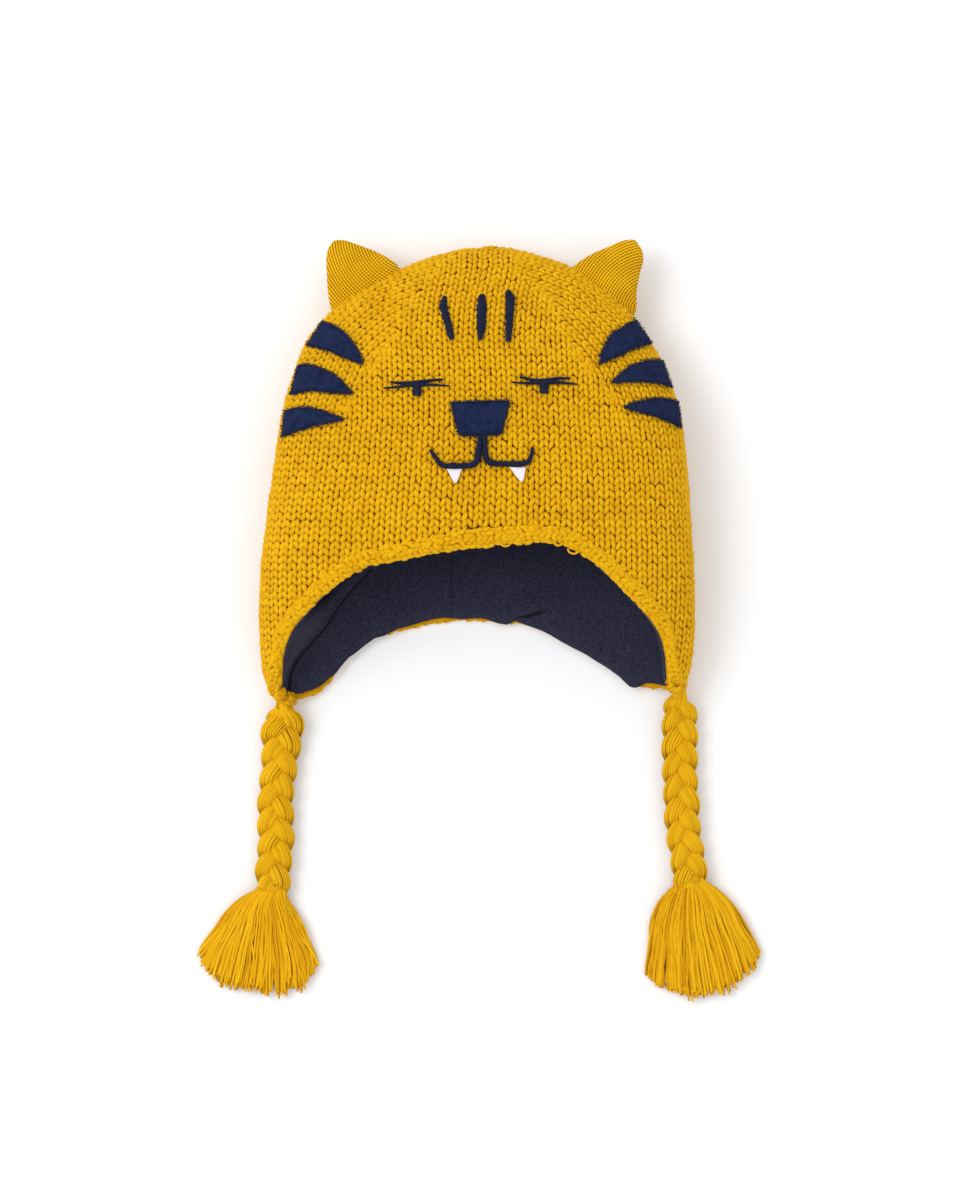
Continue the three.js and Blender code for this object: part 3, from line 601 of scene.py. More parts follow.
PLAIT_ROUTES = {
    "left": [
        (-98, -119.3, 8.3), (-97.6, -125, 7.2), (-98.6, -134, 6.5), (-99.5, -144, 6.5),
        (-100.5, -154, 6.5), (-101.6, -164, 6.5), (-101.8, -176, 6.5), (-101.6, -188, 6.5),
        (-102.8, -200, 6.5), (-104.2, -210.5, 6.5),
    ],
    "right": [
        (101.2, -114.3, 8.3), (100.8, -120, 7.2), (100.2, -132, 6.5), (100.3, -144, 6.5), (100.6, -156, 6.5),
        (101.2, -168, 6.5), (102.1, -182, 6.5), (104.2, -194, 6.5), (106.2, -204, 6.5), (107, -208.5, 6.5),
    ],
}
PLAIT_PITCH = 34.5
PLAIT_STEPS = 80
STRANDS = 3
STRAND_SWING = 4.9
STRAND_RISE = 2.1
STRAND_HALF_WIDTH = 4.4
STRAND_HALF_HEIGHT = 3.0
STRAND_YARNS = 17
STRAND_CORE = 4
CORE_SHARE = 0.55
STRAND_TWIST = 0.35
YARN_RADIUS = 0.72
UNDER_SHADE = 0.5
TURN_JITTER = 0.03
SEAT_JITTER = 0.05
GATHER_AT_FLAP = 0.45
GATHER_AT_NECK = 0.82
FLAP_RUN = 11
NECK_RUN = 14
FIRST_LOBES = {"left": 0.2, "right": 0.0}
LOBE_REACH = 9
DRIFT = {"left": -0.5, "right": 1.5}


def plait_gather(side, way, length):
    """Share of its full width that a plait has along its way: it is drawn in at both ends."""
    gather = np.minimum(GATHER_AT_FLAP + way / FLAP_RUN, GATHER_AT_NECK + (length - way) / NECK_RUN)
    lobe = FIRST_LOBES[side] * np.exp(-(((way - FLAP_RUN) / LOBE_REACH) ** 2))
    return np.minimum(gather, 1) * (1 + lobe)


def strand_yarns(middle, phase, gather):
    """The yarns of one strand: a ring of them round a few in its core."""
    along = unit(np.gradient(middle, axis=0))
    wide = unit(np.cross(UP, along))
    thick = np.cross(along, wide)
    half_width, half_height = STRAND_HALF_WIDTH - YARN_RADIUS, STRAND_HALF_HEIGHT - YARN_RADIUS
    fine = np.linspace(0, TURN, 721)
    ring = np.stack([half_width * np.cos(fine), half_height * np.sin(fine)], axis=1)
    seats = [(turn, 1.0) for turn in even_turns(fine, ring, STRAND_YARNS)]
    seats += [(TURN * k / STRAND_CORE, CORE_SHARE) for k in range(STRAND_CORE)]
    paths = []
    for seat, share in seats:
        turn = seat + STRAND_TWIST * np.sin(phase) + random.normal(0, TURN_JITTER)
        share = share + random.normal(0, SEAT_JITTER)
        out, lift = half_width * gather * share * np.cos(turn), half_height * share * np.sin(turn)
        paths.append(middle + wide * out[:, None] + thick * lift[:, None])
    return paths


def plait_yarns(side, route):
    """The yarns of a plait's three strands, which swing from side to side over each other."""
    centre, length = even_route(route, PLAIT_STEPS)
    way = np.linspace(0, length, PLAIT_STEPS)
    ahead = unit(np.gradient(centre, axis=0))
    beside = unit(np.cross(UP, ahead))
    above = np.cross(ahead, beside)
    gather = plait_gather(side, way, length)
    drift = DRIFT[side] * smooth(way, 0, 12) * (1 - smooth(way, length - NECK_RUN, length))
    paths, tucked = [], []
    for number in range(STRANDS):
        phase = TURN * (way / PLAIT_PITCH + number / STRANDS)
        swing = gather * STRAND_SWING * np.sin(phase)
        rise = gather * STRAND_RISE * np.sin(2 * phase)
        middle = centre + beside * swing[:, None] + above * rise[:, None]
        middle[:, 0] += drift
        strand = strand_yarns(middle, phase, gather)
        paths += strand
        # Painted shade where a strand passes under the other two
        under = smooth(-np.sin(2 * phase), -0.3, 0.9) * smooth(way, 2, 9)
        tucked += [UNDER_SHADE * under] * len(strand)
    paths = np.array(paths)
    paths[:, :, 2] = np.maximum(paths[:, :, 2], YARN_RADIUS)
    return paths, np.array(tucked), centre, length


BINDING_RADIUS = 4.6
BINDING_HEIGHT = 3.1
BINDING_TURNS = 4
BINDING_HALF_LENGTH = 1.3
BINDING_YARN = 0.6
TASSEL_EDGES = {
    # distance below the neck, and the two edges of the tassel there
    "left": np.array([
        (0, -109.5, -99.7), (4.5, -111.5, -97.5), (7.5, -117, -96.5), (10.5, -121.5, -95.8),
        (16.5, -127.2, -92), (22.5, -131, -89), (28.5, -135, -86.7), (34.5, -139.5, -83.6),
        (40.5, -143, -81), (46.5, -146, -79.5), (60, -152, -77),
    ]),
    "right": np.array([
        (0, 103, 112.5), (3.5, 100.6, 116), (6.5, 97, 120.8), (12.5, 92.8, 127), (18.5, 90.4, 131),
        (24.5, 88.5, 134), (30.5, 87.5, 137.5), (36.5, 86.8, 141), (42.5, 85.7, 144), (48.5, 84.9, 147),
        (60, 84, 152),
    ]),
}
TASSEL_ENDS = {
    # place across the tassel, and how far below the neck the yarns end there
    "left": np.array([
        (-1, 36), (-0.85, 41), (-0.62, 47), (-0.45, 51), (0, 54), (0.4, 55.5), (0.68, 53), (0.84, 47),
        (1, 40),
    ]),
    "right": np.array([
        (-1, 48), (-0.86, 54), (-0.4, 58), (0, 58), (0.2, 55.5), (0.53, 51), (0.75, 45.5), (1, 37),
    ]),
}
TASSEL_NECK_Y = {"left": -206.5, "right": -204.5}
TASSEL_YARNS = 440
TASSEL_YARN_RADIUS = 0.57
TASSEL_FLUFF = 0.16
TASSEL_STEPS = 15
TASSEL_SHADE = 0.35
LENGTH_JITTER = 0.034
HEIGHT_JITTER = 0.25
WAVE_SWING = 0.9
WAVE_LENGTH = 9
TASSEL_RIM = 0.8
TASSEL_TOP = np.array([
    # distance below the neck, and the height of the tassel's middle there
    (0, 7), (4, 8.5), (8, 11.4), (13, 12.2), (22, 11), (35, 8), (54, 5.5),
])
NECK_Z = 6.5
NECK_HALF_HEIGHT = 4


def binding_path(place, ahead):
    """Yarn wound round the neck of a tassel."""
    beside = unit(np.cross(UP, ahead))
    turn = np.linspace(0, TURN * BINDING_TURNS, 26 * BINDING_TURNS)
    along = np.linspace(-BINDING_HALF_LENGTH, BINDING_HALF_LENGTH, len(turn))[:, None]
    wide, high = BINDING_RADIUS * np.cos(turn)[:, None], BINDING_HEIGHT * np.sin(turn)[:, None]
    return place + ahead * along + (beside * wide + UP * high)


def tassel_yarns(side):
    """Yarns that leave the neck sideways over a round shoulder, then fan out and lie on the surface."""
    edges, ends = TASSEL_EDGES[side], TASSEL_ENDS[side]
    place = random.uniform(-1, 1, TASSEL_YARNS)
    layer = random.random((TASSEL_YARNS, 1)) ** 0.4
    length = value_at(ends, place) * (1 + random.normal(0, LENGTH_JITTER, TASSEL_YARNS))
    place = place[:, None]
    t = np.linspace(0, 1, TASSEL_STEPS) ** 1.25
    down = t * length[:, None]
    left, right = (hermite(edges[:, 0], edges[:, k], down) for k in (1, 2))
    phase = random.random((TASSEL_YARNS, 1)) * 6
    swing = random.normal(0, WAVE_SWING, (TASSEL_YARNS, 1)) * np.sin(down / WAVE_LENGTH + phase)
    across = (left + right) / 2 + (right - left) / 2 * place + swing * smooth(down, 4, 20)
    edge = np.sqrt(1 - 0.85 * place ** 2)
    top = value_at(TASSEL_TOP, down)
    neck = 1 - smooth(down, 2, 13)
    full = (TASSEL_RIM + (top - TASSEL_RIM) * edge) * (1 - neck) + (NECK_Z + (top - NECK_Z) * edge) * neck
    base = (NECK_Z - NECK_HALF_HEIGHT * edge) * neck
    height = base + layer * (full - base) + random.normal(0, HEIGHT_JITTER, (TASSEL_YARNS, 1)) * t
    places = np.stack([across, TASSEL_NECK_Y[side] - down, height], axis=2)
    places[:, :, 2] = np.maximum(places[:, :, 2], TASSEL_YARN_RADIUS)
    thickness = np.tile(TASSEL_YARN_RADIUS + TASSEL_FLUFF * t ** 2, (TASSEL_YARNS, 1))
    # Painted shade on the lower layers of yarn, under the upper ones
    return places, thickness, np.broadcast_to(TASSEL_SHADE * (1 - layer), down.shape)


ROOT_YARNS = 40
ROOT_YARN = 0.75
ROOT_BEFORE = 7.0
ROOT_LENGTH = 12.0


def root_paths(start, ahead):
    """Yarns of the tie that are drawn through the tip of the flap, and hold the plait to it."""
    beside = unit(np.cross(UP, ahead))
    turn = random.uniform(0, TURN, (ROOT_YARNS, 1, 1))
    out = random.uniform(0.6, 1.0, (ROOT_YARNS, 1, 1))
    t = np.linspace(0, 1, 9)[None, :, None]
    wide = (2.4 + 3.0 * t ** 1.5) * out * np.cos(turn + 0.5 * t)
    high = (2.0 + 1.7 * t) * out * np.sin(turn + 0.5 * t)
    paths = start + ahead * (ROOT_LENGTH * t - ROOT_BEFORE) + beside * wide + UP * (high + 1.2 * (1 - t))
    paths[:, :, 2] = np.maximum(paths[:, :, 2], YARN_RADIUS)
    return paths


def tie(side, route):
    """A plait with its root in the flap, its binding and its tassel."""
    braid = f"braid_{side}"
    paths, tucked, centre, length = plait_yarns(side, route)
    plait = laid_yarns(f"plait_{side}", paths, YARN_RADIUS, 5, plait_finish, "plait_yarn", braid, tucked)
    paths = root_paths(centre[0], unit(centre[2] - centre[0]))
    laid_yarns(f"tie_root_{side}", paths, ROOT_YARN, 6, plait_finish, "plait_yarn", braid)
    ahead = unit(centre[-1] - centre[-3])
    paths = [binding_path(centre[-1] + ahead * 0.1, ahead)]
    wound = laid_yarns(f"neck_binding_{side}", paths, BINDING_YARN, 6, plait_finish, "plait_yarn",
                       f"binding_{side}")
    paths, thickness, tucked = tassel_yarns(side)
    skirt = laid_yarns(f"tassel_skirt_{side}", paths, thickness, 5, tassel_finish, "plait_yarn",
                       f"tassel_{side}", tucked)


for side, route in PLAIT_ROUTES.items():
    tie(side, route)


# Form of the hat: sections down from the crown, and the lower edge round it

CROWN_Y = 111.5
CROWN_FADE = 45.0
FRONT_POWER = 2.3
BACK_POWER = 3.0
SECTIONS = np.array([
    # y, left edge, right edge, height of the fold, the front and the back
    (111.5, 7, 7, 14, 14, 14), (108, -18, 28, 15, 22.5, 8), (102, -35, 45, 16.5, 29.5, 4),
    (95, -51.5, 59, 18, 35, 1.5), (85, -66.5, 70, 20, 41, 0), (75, -77.5, 79, 21.5, 46, -0.8),
    (64, -86, 86.5, 22.5, 50, -1.2), (52, -91, 93, 23.5, 53.5, -1.4), (28, -98, 101, 25, 58, -1.5),
    (-2, -102.5, 105, 26, 61, -1.5), (-26, -106, 106.5, 26, 62, -1.5), (-50, -108.5, 108, 25, 60, -1.5),
    (-74, -109.5, 108.5, 22, 54, -1.5), (-98, -108.5, 107, 17, 43, -1.5), (-110, -105, 103, 12.5, 31, -1),
    (-118, -99.5, 99, 9.5, 21, 0),
])
RIM = np.array([
    # degrees round the hat, with 90 in front, and the edge's y
    (0, -111.5), (10, -111), (20, -109), (25, -105), (30, -95), (35, -85), (40, -77), (50, -63), (60, -49),
    (70, -41), (80, -38), (90, -39.5), (100, -43), (110, -46.5), (120, -50.5), (130, -62), (140, -74),
    (150, -87), (155, -96), (160, -107), (170, -114.5), (180, -116.5), (190, -115.5), (200, -114),
    (210, -112.5), (220, -110.5), (230, -106), (240, -95.5), (250, -84.5), (260, -77), (270, -74),
    (280, -80), (290, -91), (300, -100.5), (310, -106), (320, -108), (340, -110), (360, -111.5),
])
EDGE_SETTLE = np.array([
    # degrees round the hat, and how far in from its line the soft edge has settled
    (0, 0), (25, 0), (32, 2.4), (40, 2.0), (46, 1.6), (57, 0.8), (62, 1.6), (71, 3.0), (76, 1.6), (82, 0.5),
    (120, 0.2), (133, 1.4), (147, 1.6), (153, 0.5), (158, -1.0), (163, 0.2), (172, 1.2), (185, 0.6),
    (200, -1.0), (210, -3.0), (222, -3.2), (234, -2.2), (240, 1.2), (250, 1.5), (255, -1.5), (259, -2.5),
    (266, -2.0),
    (270, -1.6), (274, -1.4), (276, 0.2), (285, 0.2), (293, 2.0), (301, 2.6), (307, 1.8), (314, -1.0),
    (325, -1.0), (335, 0), (360, 0),
])
RIM_STEP = 6
BAND_WIDTH = 6.0
BAND_EXTRA_AT_FRONT = 3.0
BAND_GROOVE = -1.4
BAND_BARED = 1.1
SECTION_KEYS = np.sqrt(CROWN_Y - SECTIONS[:, 0])


def section_at(y, inset):
    """Middle, half width and heights of the wall at a station, as deep in it as the inset."""
    depth = np.maximum(CROWN_Y - inset - y, 0)
    fade = smooth(depth, 0, CROWN_FADE)
    reach = np.sqrt(np.maximum(depth + inset * fade, 0))
    left, right, fold, front, back = (hermite(SECTION_KEYS, column, reach) for column in SECTIONS.T[1:])
    left, right = left + inset * fade, right - inset * fade
    return (left + right) / 2, (right - left) / 2, fold, front - inset * fade, back + inset * fade


def wall_point(angle, y, inset):
    """Point of the wall at an angle round the hat."""
    angle, y = np.broadcast_arrays(np.asarray(angle, float), np.asarray(y, float))
    middle, half, fold, front, back = section_at(y, inset)
    across, up = np.cos(angle), np.sin(angle)
    power = np.where(up >= 0, 2 / FRONT_POWER, 2 / BACK_POWER)
    rise = np.where(up >= 0, front - fold, fold - back)
    x = middle + half * np.sign(across) * np.abs(across) ** power
    z = fold + rise * np.sign(up) * np.abs(up) ** power
    return np.stack([x, y, np.maximum(z, inset)], axis=-1)


def rim_y(angle):
    return hermite(RIM[:, 0], RIM[:, 1], np.degrees(angle) % 360)


def in_from_rim(angle, distance):
    """Station of a line that runs in from the edge, measured square to the edge."""
    step = math.radians(RIM_STEP)
    distance = distance + value_at(EDGE_SETTLE, np.degrees(angle) % 360)
    edge = rim_y(angle)
    stretch = np.linalg.norm(wall_point(angle + step, edge, 0) - wall_point(angle - step, edge, 0), axis=-1)
    slope = (rim_y(angle + step) - rim_y(angle - step)) / stretch
    return edge + distance * np.minimum(np.hypot(1, slope), 3)


def band_width(angle):
    return BAND_WIDTH + BAND_EXTRA_AT_FRONT * np.maximum(0, np.sin(angle)) ** 4


def face_height(x, y, face, inset=0.0):
    """Height of the front or the back of the hat over a point in plan."""
    middle, half, fold, front, back = section_at(y, inset)
    across = np.minimum(np.abs(x - middle) / np.maximum(half, 0.01), 0.9995)
    if face == "front":
        return fold + (front - fold) * (1 - across ** FRONT_POWER) ** (1 / FRONT_POWER)
    return np.maximum(fold - (fold - back) * (1 - across ** BACK_POWER) ** (1 / BACK_POWER), 0)


def face_point(plan, lift):
    """Points on the front over places in plan, lifted off it, with their outward directions."""
    x, y = plan[..., 0], plan[..., 1]
    step = 0.5
    slope_x = (face_height(x + step, y, "front") - face_height(x - step, y, "front")) / (2 * step)
    slope_y = (face_height(x, y + step, "front") - face_height(x, y - step, "front")) / (2 * step)
    outward = unit(np.stack([-slope_x, -slope_y, np.ones_like(x)], axis=-1))
    ground = np.stack([x, y, face_height(x, y, "front")], axis=-1)
    return ground + outward * lift[..., None], outward


# Knitted body: every stitch in its wale and course

WALES_TO_FOLD = {"front": 22, "back": 20}
BODY_COURSES = 41
BODY_TOP = 24.0
CROWN_X = 1.0
PROBE = 0.6  # a short way, to measure directions by
STITCH_INSET = 1.0
STITCH_FLATNESS = 0.75
CROWN_PUFF = 0.8
LEAN_JITTER = 0.07
SIZE_JITTER = 0.035
LIFT_JITTER = 0.12
PLACE_JITTER = 0.14
HAT_MIDDLE = np.array([0.0, 0.0, 24.0])
HAT_SHARES = np.array([1, 0.3, 2.2])  # they weigh width, length and height alike
DROPPED_STITCH = (-65.5, -41)
DROPPED_REACH = 2.2
SIDE_REACH = 84
SIDE_WIDTH = 70
DECREASES = np.array([
    # y, and how far from the middle the line of decreases runs
    (-200, 90), (24, 70), (42, 60), (53, 50), (62, 44), (76, 38), (88, 31), (110, 12), (111.5, 8),
])


def ring_lines(face, side, stations):
    """Points from the middle of a face to its fold at every station, with the way to each of them."""
    quarter = np.linspace(0, math.pi / 2, 220)
    angle = math.pi / 2 - quarter if side > 0 else math.pi / 2 + quarter
    if face == "back":
        angle = -angle
    points = wall_point(angle[None, :], np.asarray(stations)[:, None], STITCH_INSET)
    return points, row_lengths(points)


def at_lengths(points, lengths, wanted):
    """Points at the wanted lengths of each row; beyond its end they stay at the end."""
    return np.array([points_at(row, way, at) for row, way, at in zip(points, lengths, wanted)])


def wale_widths(face, side, stations):
    full = ring_lines(face, side, [BODY_TOP])[1][0, -1] / WALES_TO_FOLD[face]
    whole = ring_lines(face, side, stations)[1][:, -1] / WALES_TO_FOLD[face]
    return np.where(np.asarray(stations) < BODY_TOP, whole, full)


def middle_stitches(face, side):
    """Stitches of the body, and of the gore in the middle of a face."""
    lower = BODY_TOP - (np.arange(BODY_COURSES) + 0.5) * COURSE
    fine = np.linspace(BODY_TOP, CROWN_Y - 0.6, 400)
    centre = wall_point(math.pi / 2 if face == "front" else -math.pi / 2, fine, STITCH_INSET)
    way = arc_lengths(centre)
    upper = np.interp(np.arange(0.5 * COURSE, way[-1], COURSE), way, fine)
    stations = np.concatenate([lower[::-1], upper])
    wales = np.arange(WALES_TO_FOLD[face])[None, :] + 0.5
    points, lengths = ring_lines(face, side, stations)
    width = wale_widths(face, side, stations)[:, None]
    spots = at_lengths(points, lengths, wales * width)
    beside = at_lengths(points, lengths, wales * width + PROBE) - spots
    next_width = wale_widths(face, side, stations + PROBE)[:, None]
    ahead = at_lengths(*ring_lines(face, side, stations + PROBE), wales * next_width) - spots
    limit = value_at(DECREASES, stations)[:, None] + 0.25 * width
    keep = (stations[:, None] < BODY_TOP) | (np.abs(spots[..., 0] - CROWN_X) < limit)
    keep &= wales * width < lengths[:, -1:] - 0.1 * width
    course = np.gradient(stations)[:, None] * (np.linalg.norm(ahead, axis=2) / PROBE)
    return spots[keep], ahead[keep], beside[keep], np.broadcast_to(width, keep.shape)[keep], course[keep]


def side_rows(face, side):
    """Rows of points that run inward over a face from the outline of the crown."""
    reach = np.linspace(math.sqrt(CROWN_Y - BODY_TOP), 0.9, 260)
    y = CROWN_Y - reach ** 2
    middle, half, fold, _, _ = section_at(y, STITCH_INSET)
    outline = np.stack([middle + side * half, y], axis=1)
    ahead = unit(np.gradient(outline, axis=0))
    inward = np.stack([-ahead[:, 1], ahead[:, 0]], axis=1) * side
    turn = 0.55 * smooth(arc_lengths(outline), 0, 60)[:, None]
    inward = unit(inward * turn + np.array([[-side, 0.0]]) * (1 - turn))
    far = SIDE_REACH * np.linspace(0, 1, 240) ** 2
    plan = outline[:, None, :] + inward[:, None, :] * far[None, :, None]
    plan[..., 1] = np.minimum(plan[..., 1], CROWN_Y - 0.4)
    height = face_height(plan[..., 0], plan[..., 1], face, STITCH_INSET)
    height[:, 0] = fold
    return np.concatenate([plan, height[..., None]], axis=2)


def side_stitches(face, side):
    """Stitches of the gores over the folds, whose wales run alongside the outline of the crown."""
    points = side_rows(face, side)
    lengths = row_lengths(points)
    width = wale_widths(face, side, [BODY_TOP])[0]
    wales = (np.arange(int(SIDE_WIDTH / width)) + 0.5) * width
    wales = np.broadcast_to(wales, (len(points), len(wales)))
    lines, besides = at_lengths(points, lengths, wales), at_lengths(points, lengths, wales + PROBE)
    out = []
    for line, beside in zip(lines.transpose(1, 0, 2), besides.transpose(1, 0, 2)):
        way = arc_lengths(line)
        at = np.arange(0.5 * COURSE, way[-1], COURSE)
        spot, before, after = (points_at(line, way, at + step) for step in (0, -PROBE, PROBE))
        across = (points_at(beside, way, at) - spot) * -1
        keep = side * (spot[:, 0] - CROWN_X) > value_at(DECREASES, spot[:, 1]) - 0.2 * width
        keep &= spot[:, 1] > BODY_TOP
        sizes = np.full(len(at), width), np.full(len(at), COURSE)
        out.append([a[keep] for a in (spot, after - before, across, *sizes)])
    return [np.concatenate(parts) for parts in zip(*out)]


def above_band(spots, face):
    """Which stitches lie above the band round the edge."""
    middle, half, fold, _, _ = section_at(spots[:, 1], STITCH_INSET)
    power = (FRONT_POWER if face == "front" else BACK_POWER) / 2
    share = (spots[:, 0] - middle) / np.maximum(half, 0.01)
    angle = np.arccos(np.sign(share) * np.clip(np.abs(share), 0, 1) ** power)
    angle = angle if face == "front" else -angle
    bared = smooth(spots[:, 0], -20, -12) * (1 - smooth(spots[:, 0], 26, 34)) * (face == "front")
    return spots[:, 1] > in_from_rim(angle, band_width(angle) + BAND_GROOVE + BAND_BARED * bared)


def stitch_attributes(spots, along, across, width, course, loosen=1.0):
    """Directions, sizes and tones of stitches, each a little off its place."""
    count = len(spots)
    along = unit(along)
    outward = unit(np.cross(unit(across), along))
    inwards = np.sum(outward * ((spots - HAT_MIDDLE) * HAT_SHARES), axis=1) < 0
    outward[inwards] *= -1
    lean = random.normal(0, LEAN_JITTER * loosen, count)[:, None]
    along = unit(along + np.cross(outward, along) * lean)
    size = np.stack([width / WALE, course / COURSE, np.full(count, STITCH_FLATNESS)], axis=1)
    size = size * (1 + random.normal(0, SIZE_JITTER * loosen, (count, 3)))
    puff = CROWN_PUFF * smooth(spots[:, 1], 88, 106)
    spots = spots + outward * (puff + random.normal(0, LIFT_JITTER * loosen, count))[:, None]
    spots = spots + along * random.normal(0, PLACE_JITTER, count)[:, None]
    spots = spots + np.cross(outward, along) * random.normal(0, PLACE_JITTER, count)[:, None]
    return spots, {"along": along, "outward": outward, "size": size, "tone": random.random(count)}


for face in ("front", "back"):
    for side, word in ((1, "right"), (-1, "left")):
        groups = zip(middle_stitches(face, side), side_stitches(face, side))
        rows = [np.concatenate(parts) for parts in groups]
        keep = above_band(rows[0], face)
        if face == "front":
            keep &= np.linalg.norm(rows[0][:, :2] - DROPPED_STITCH, axis=1) > DROPPED_REACH
        spots, attributes = stitch_attributes(*(row[keep] for row in rows))
        with_geometry(f"knit_{face}_{word}", spots, attributes, stitches, knit_finish, "knit_yarn",
                      "knit_shell")


# Walls under the stitches and under the band

COLUMNS = 200
MIDDLE_Y = -60.0
WALL = 3.0
BACKING_INSET = 2.3
BAND_INSET = 1.6
BAND_BULGE = 1.3
BAND_DOWN = 0.6
WELD = 0.02


def weld(piece):
    """Merges points that coincide, and turns all faces outward."""
    mesh = bmesh.new()
    mesh.from_mesh(piece.data)
    bmesh.ops.remove_doubles(mesh, verts=mesh.verts, dist=WELD * MM)
    bmesh.ops.recalc_face_normals(mesh, faces=mesh.faces)
    mesh.to_mesh(piece.data)
    mesh.free()


def edge_faces(number, count):
    """Quads between the closed edge of one grid of points and the same edge of the next."""
    return [[a, b, count + b, count + a] for a, b in zip(number, number[1:] + number[:1])]


def wall_piece(name, outer, inner, material, node, two_edges=False):
    """Closed wall between two grids of rings that run from the crown, or from another edge, to an edge."""
    points = np.concatenate([outer.reshape(-1, 3), inner.reshape(-1, 3)])
    rows, columns = outer.shape[:2]
    count = rows * columns
    faces = grid_faces(rows, columns, True) + grid_faces(rows, columns, True, count, True)
    faces += edge_faces(list(range(count - columns, count)), count)
    if two_edges:
        faces += edge_faces(list(range(columns)), count)
    piece = new_piece(name, points, faces, material, node)
    weld(piece)


def closed_sheet(name, top, under, material, node, shade=None):
    """Closed sheet between two grids of points, and the places of its edge in the grid."""
    rows, columns = top.shape[:2]
    count = rows * columns
    faces = grid_faces(rows, columns, False) + grid_faces(rows, columns, False, count, True)
    edge = [(i, 0) for i in range(rows)] + [(rows - 1, j) for j in range(1, columns)]
    edge += [(i, columns - 1) for i in range(rows - 2, -1, -1)] + [(0, j) for j in range(columns - 2, 0, -1)]
    faces += edge_faces([i * columns + j for i, j in edge], count)
    points = np.concatenate([top.reshape(-1, 3), under.reshape(-1, 3)])
    piece = new_piece(name, points, faces, material, node)
    # Painted shade for the fleece's material, on both faces of the sheet
    if shade is not None:
        values = np.concatenate([shade.ravel(), shade.ravel()])
        piece.data.attributes.new("shade", "FLOAT", "POINT").data.foreach_set("value", values)
    weld(piece)
    return piece, edge


fine = np.linspace(0, TURN, 2881)
angles = even_turns(fine, wall_point(fine, MIDDLE_Y, WALL), COLUMNS)


def rings(inset, end, shares):
    """Rings of the wall at shares of the way from the crown down to an edge."""
    start = CROWN_Y - inset
    return wall_point(angles[None, :], start + (end - start) * shares, inset)


def band_rings(wide, shares, insets):
    """Rings of the wall over a width of the band, each as deep in the wall as its inset."""
    return np.stack([wall_point(angles, in_from_rim(angles, wide * (1 - share) + BAND_DOWN), inset)
                     for share, inset in zip(shares, insets)])


falls = (np.linspace(0, 1, 46) ** 2)[:, None]
shell_end = in_from_rim(angles, band_width(angles) * 0.9)[None, :]
# A wall in painted shade under the stitches, seen through their gaps
wall_piece("knit_backing", rings(BACKING_INSET, shell_end, falls), rings(WALL, shell_end, falls),
           backing, "knit_shell")

shares = np.linspace(0, 1, 9)
bulge = BAND_BULGE * np.sin(np.pi * shares) ** 0.6
wide = band_width(angles) * 0.86
# A wall in painted shade under the band's loops, seen between them
wall_piece("band_backing", band_rings(wide, shares, BAND_INSET - bulge),
           band_rings(wide, shares, np.full(len(shares), WALL)), band_gap_shade, "rim_band",
           two_edges=True)


LOOP_SETTLE = 0.8
LOOP_ALONG_JITTER = 0.3
LOOP_ACROSS_JITTER = 0.25
LOOP_LEAN_JITTER = 0.18
BAND_ROWS = [
    # share of the band's width in from the edge, depth in the wall, spacing, and how far a loop leans
    (0.03, 1.3, 3.1, 0.15), (0.2, 0.5, 3.0, 0.6), (0.39, 0.0, 3.1, -0.5), (0.58, 0.0, 3.0, 0.55),
    (0.78, 0.5, 3.1, -0.25),
]


def row_point(angle, share, inset, extra):
    """Point of one of the band's rows, moved in from the edge by an extra way."""
    return wall_point(angle, in_from_rim(angle, band_width(angle) * share + LOOP_SETTLE + extra), inset)


def edge_row(share, inset, pitch, lean):
    """Loops of yarn in a row alongside the edge."""
    fine = np.linspace(0, TURN, 4000, endpoint=False)
    way = arc_lengths(row_point(fine, share, inset, 0))
    at = np.arange(0, way[-1], pitch) + random.normal(0, LOOP_ALONG_JITTER, int(way[-1] // pitch) + 1)
    turn = np.interp(at, way, fine)
    spot = row_point(turn, share, inset, random.normal(0, LOOP_ACROSS_JITTER, len(turn)))
    here = row_point(turn, share, inset, 0)
    edge = unit(row_point(turn + 0.01, share, inset, 0) - here)
    rise = unit(row_point(turn, share, inset, 1) - here)
    lean = lean + random.normal(0, LOOP_LEAN_JITTER, (len(at), 1))
    return spot, edge * np.cos(lean) + rise * np.sin(lean), rise * np.cos(lean) - edge * np.sin(lean)


KNOT_LOOPS = 34
CORNER_KNOTS = [
    # middle and half sizes of the lobe at the tip of the right flap, and of two gathers at that of the left
    ((98.0, -106.5, 21.0), (2.6, 5.2, 2.6)),
    ((-96.4, -115.2, 9.5), (3.9, 2.8, 4.2)),
    ((-99.4, -112.2, 14.0), (2.2, 2.7, 3.0)),
]


def corner_knot(middle, radii):
    """Loops of the bound-off edge where it is gathered into a lobe."""
    turn = random.uniform(0, TURN, KNOT_LOOPS)
    rise = random.uniform(-0.2, 1.3, KNOT_LOOPS)
    ball = np.stack([np.cos(turn) * np.cos(rise), np.sin(turn) * np.cos(rise), np.sin(rise)], axis=1)
    along = unit(np.cross(ball, random.normal(0, 1, (KNOT_LOOPS, 3))))
    return np.array(middle) + ball * np.array(radii), along, np.cross(along, ball)


knots = [corner_knot(*knot) for knot in CORNER_KNOTS]
rows = [edge_row(*row) for row in BAND_ROWS] + knots
spots, along, across = (np.concatenate(parts) for parts in zip(*rows))
sizes = np.full(len(spots), WALE), np.full(len(spots), COURSE)
spots, attributes = stitch_attributes(spots, along, across, *sizes, loosen=2.0)
with_geometry("bound_off_edge", spots, attributes, edge_loops, knit_finish, "knit_yarn", "rim_band")


